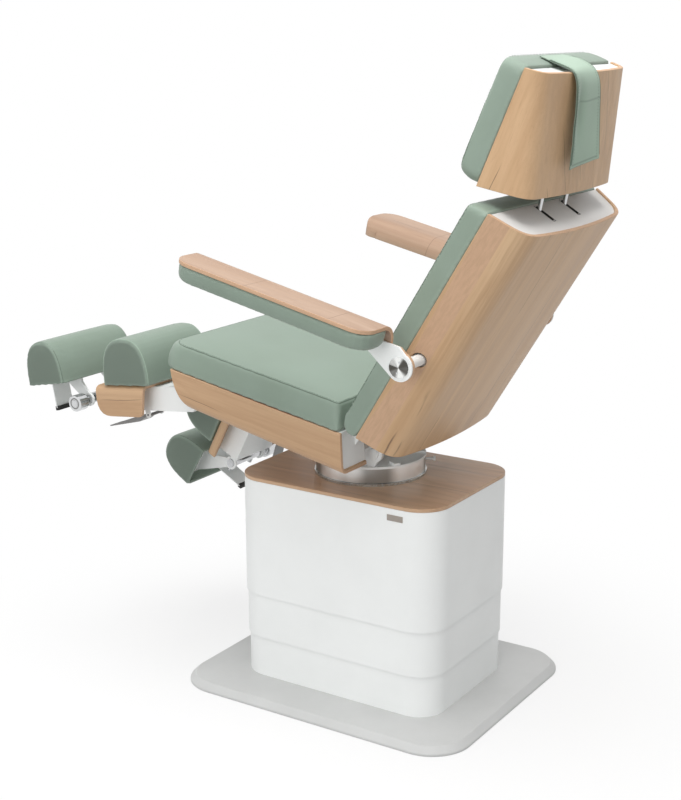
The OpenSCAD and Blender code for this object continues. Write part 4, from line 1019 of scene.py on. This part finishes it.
# a roll's end seams lie on arches near its ends: across, then start, length, height and base
rolls = {
    "calf": {
        "leads": "leg", "ends": (17, 265), "arch": (95, 152, 122, 20.3),
        "foam": {**rollFoam, "held": lambda p: p[:, 2] < 0.026},
        "seam": {"reach": 2.2, "depth": 0.8, "shade": 0.4, "bead": 1.2},
    },
    "foot": {
        "leads": "foot", "ends": (17, 295), "arch": (-14, 127, 116, 61),
        "foam": {**rollFoam, "voxel": 0.004, "smooth": 5, "held": lambda p: p[:, 2] < 0.066},
        "seam": {"reach": 2.2, "depth": 0.8, "shade": 0.3, "fold": 0.6},
    },
}
for side, sign in sides.items():
    for kind, roll in rolls.items():
        place = roll["leads"] + side.capitalize()
        ends = [arch(sign * x, *roll["arch"]) for x in roll["ends"]]
        pad = padFrom("%s_pad_%s" % (kind, side), {**roll["foam"], "place": place, "seams": ends})
        for number, end in enumerate(ends):
            name = "%s_%s_seam%d" % (kind, side, number)
            sewn(pad, "%s_%s" % (roll["leads"], side), name, place, end, roll["seam"])
    padFrom("arm_pad_" + side, {**armFoam, "place": "arm", "held": lambda p: p[:, 2] > 0.07})
print("leg and arm pads made")


# Head strap
strap = {
    "x": 42, "width": 112, "columns": 41, "rows": 84, "thick": 2.8,
    # the runs of its two edges in the headrest's frame: behind its face, and up
    "left": [(-34, 271.0), (0, 271.5), (28, 272.6), (48, 272.2), (60, 264), (70, 249), (79, 227), (91, 193),
             (101, 160), (111, 131), (118, 106), (125, 82.3)],
    "right": [(-34, 271.5), (-12, 277), (10, 281), (32, 280), (50, 275), (62, 266), (72, 253), (85, 226),
              (94, 204), (104, 181), (120, 143), (136, 105.4)],
    # lines on it, from -1 at its right edge to 1 at its left: rows of stitches, and fold cords, dark with
    # painted shade, with their radius
    "stitches": (-0.8, 0.8), "folds": ((-0.97, 0.6), (0.9, 0.7), (0.985, 1.0)), "lineRows": (6, 82),
}
# its cloth, in millimetres: where it hangs free it bows and its edges curl, and hems run along its edges
drape = {
    "freeFrom": 0.3, "bow": 8.0, "bowAt": 0.5, "bowWidth": 0.24,
    "curls": ((2.0, 2, 1, 0.16), (1.5, 4, -1, 0.2)),
    "hemAt": 7.0, "hemWidth": 1.0, "groove": 0.6, "swell": 0.7, "swellAt": 3.2, "swellWidth": 2.2,
    "barAt": 0.53, "barWidth": 0.9,
}


def curved(a, b, c, d, t):  # between b and c, on a smooth curve through all four
    square, cube = (2 * a - 5 * b + 4 * c - d) * t * t, (3 * b - a - 3 * c + d) * t ** 3
    return 0.5 * (2 * b + (c - a) * t + square + cube)


def spun(path, count, parts=12):  # points at even steps on a smooth curve through a few, and its length
    knots = np.array(path, float)
    last = len(knots) - 1
    fine = []
    for i in range(last):
        around = [knots[min(max(i + k, 0), last)] for k in (-1, 0, 1, 2)]
        fine += [curved(*around, t) for t in np.linspace(0, 1, parts, endpoint=False)]
    fine = np.array(fine + [knots[-1]])
    reach = np.concatenate([[0], np.cumsum(np.linalg.norm(np.diff(fine, axis=0), axis=1))])
    even = np.linspace(0, reach[-1], count)
    return np.stack([np.interp(even, reach, fine[:, k]) for k in (0, 1)], axis=1), reach[-1]


def strapPoint(left, right, share, across, long):
    # one point of the cloth and its painted shade there, in the hem grooves, along the edges, on a line
    # across
    # and in the hollow of the bow: share runs from 0 in the headrest to 1 at the free end, across from -1
    # at the right edge to 1 at the left
    half = strap["width"] / 2
    free = max(0.0, (share - drape["freeFrom"]) / (1 - drape["freeFrom"]))
    y, z = left * (1 + across) / 2 + right * (1 - across) / 2
    bow = sin(pi * min(1.0, free * 1.15)) ** 1.5 * bell(across, drape["bowAt"], drape["bowWidth"])
    curl = sum(rise * free ** power * bell(across, at, width) for rise, power, at, width in drape["curls"])
    hem = min(half * (1 - abs(across)), long * (1 - share) + 0.01)
    groove = bell(hem, drape["hemAt"], drape["hemWidth"])
    swell = drape["swell"] * bell(hem, drape["swellAt"], drape["swellWidth"]) * min(1.0, free * 4)
    bar = bell(long * share, long * drape["barAt"], drape["barWidth"])
    edge = bell(hem, 0.0, 1.6) if across > 0 else 0.4 * bell(hem, 0.0, 1.2)
    y = y - drape["bow"] * bow + curl - drape["groove"] * groove + swell
    # the second value is painted shade: hem grooves, edges, a line across and the bow's hollow
    return (strap["x"] + across * half, y, z), max(groove * 0.8, bar * 0.6, edge, bow * 0.3)


def makeStrap():
    count, columns = strap["rows"], strap["columns"]
    (left, long), (right, other) = (spun(strap[edge], count) for edge in ("left", "right"))
    points, faces, seam = [], [], []
    for j in range(count):
        for i in range(columns):
            across = i / (columns - 1) * 2 - 1
            point, dark = strapPoint(left[j], right[j], j / (count - 1), across, long)
            points.append(point)
            seam.append(dark)
    for j in range(count - 1):
        for i in range(columns - 1):
            a = j * columns + i
            faces.append((a, a + 1, a + 1 + columns, a + columns))
    piece = meshOf("head_strap_soft", placed("head", points), faces, sageStrapLit)
    # the strap's painted shade goes into its seam layer
    painted(piece.data, "seam", seam)
    painted(piece.data, "worn")
    solid = piece.modifiers.new("thickness", "SOLIDIFY")
    solid.thickness, solid.offset = strap["thick"] * mm, 0.0
    smoothed(refined(piece), 60)
    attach(piece, "head")
    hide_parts("head_strap")
    return piece


def strapLine(piece, across, clear=4):  # a line down the strap, laid on its outer face
    left, right = (spun(strap[edge], strap["rows"])[0] for edge in ("left", "right"))
    middle = (right * (1 - across) + left * (1 + across)) / 2
    x = strap["x"] + across * strap["width"] / 2
    start = [(x, y + clear, z + clear) for y, z in middle[slice(*strap["lineRows"])]]
    return evened(laidOn(piece, placed("head", start)))


headStrap = makeStrap()
for number, across in enumerate(strap["stitches"]):
    stitchRow("strap_stitches%d" % number, strapLine(headStrap, across), "head", 0.0, 0.0045, 0.0003)
for number, (across, radius) in enumerate(strap["folds"], len(strap["stitches"])):
    laid = strapLine(headStrap, across)
    beadAlong("strap_hem%d" % number, laid, "head", radius * mm, 0.0, sageFoldShade)
print("strap made")


# Small fittings
def lathe(name, place, spot, sign, face, profile, material, body, facets=48):
    # a turned piece on an axis along x; profile holds radius and reach past a face, in millimetres
    points, across, up = [], Vector((0, 1, 0)), Vector((0, 0, 1))
    for radius, reach in profile:
        points += ringOf(Vector((sign * (face + reach), *spot)), across, up, radius, facets)
    piece = meshOf(name, placed(place, points), tubeFaces(0, len(profile), facets, sign), material)
    smoothed(piece, 30)
    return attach(piece, body)


def slab(name, place, low, high, material, body, edge=0.0):
    # a block between two corners in millimetres, with its edges rounded where a radius is given
    corners = [(x, y, z) for x in (low[0], high[0]) for y in (low[1], high[1]) for z in (low[2], high[2])]
    faces = [(0, 1, 3, 2), (4, 6, 7, 5), (0, 4, 5, 1), (2, 3, 7, 6), (0, 2, 6, 4), (1, 5, 7, 3)]
    piece = meshOf(name, placed(place, corners), faces, material)
    if edge:
        bevel = piece.modifiers.new("edge", "BEVEL")
        bevel.width, bevel.segments = edge * mm, 2
        applied(piece)
    smoothed(piece, 40)
    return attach(piece, body)


badge = {"y": (164, 207), "z": (511.5, 526.5), "thick": 1.2, "sunk": 0.4, "edge": 0.5}


def makeBadge():  # a bare plate on the cover's side
    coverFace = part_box("cover_outer")[1][0] / mm
    low = (coverFace - badge["sunk"], badge["y"][0], badge["z"][0])
    high = (coverFace + badge["thick"], badge["y"][1], badge["z"][1])
    slab("bare_plate", "row", low, high, badgeCoat, bodyOf("cover_outer"), badge["edge"])


pocket = {"x": 65, "half": 5.05, "wall": 1.5, "y": (7.5, 61.6), "deep": 5.6, "proud": 0.3}


def shadeSlot(side, sign):  # black sheets on three walls of a slot in the back's cap: painted shade inside the slot
    upright = places["back"].inverted()
    top = max((upright @ v.co).z for v in nodes["back_cap"].data.vertices) / mm
    low, high = top - pocket["deep"], top + pocket["proud"]
    (near, far), middle, body = pocket["y"], sign * pocket["x"], bodyOf("back_cap")
    for number, wall in enumerate((-1, 1)):
        inner = middle + wall * pocket["half"]
        first, last = sorted((inner, inner + wall * pocket["wall"]))
        name = "slot_liner_%s%d" % (side, number)
        slab(name, "back", (first, near, low), (last, far, high), blackRubber, body)
    wide = pocket["half"] + pocket["wall"]
    slab("slot_shade_end_" + side, "back", (middle - wide, far, low), (middle + wide, far + pocket["wall"], high),
         blackRubber, body)


pins = {"face": 359.3, "heights": (-12, 12), "profile": [(2.4, -1.5), (2.4, 0.5), (1.7, 1.1), (0.05, 1.2)]}
knob = {
    "face": 257.0, "groove": [(11.5, -0.5), (11.5, 0.25), (15.0, 0.25), (15.0, -0.5)],
    "boss": [(9.0, -0.5), (9.0, 0.9), (8.2, 1.5), (0.05, 1.7)],
}


makeBadge()
for side, sign in sides.items():
    shadeSlot(side, sign)
    body = bodyOf("arm_disc_" + side)
    for number, z in enumerate(pins["heights"]):
        name = "disc_pin_%s%d" % (side, number)
        lathe(name, "arm", (0, z), sign, pins["face"], pins["profile"], knobChrome, body, 20)
    clamp, body = "clamp" + side.capitalize(), bodyOf("foot_knob_" + side)
    for part, material in (("groove", leverCoat), ("boss", knobChrome)):
        name = "knob_%s_%s" % (part, side)
        lathe(name, clamp, (0, 0), sign, knob["face"], knob[part], material, body)
print("fittings made")
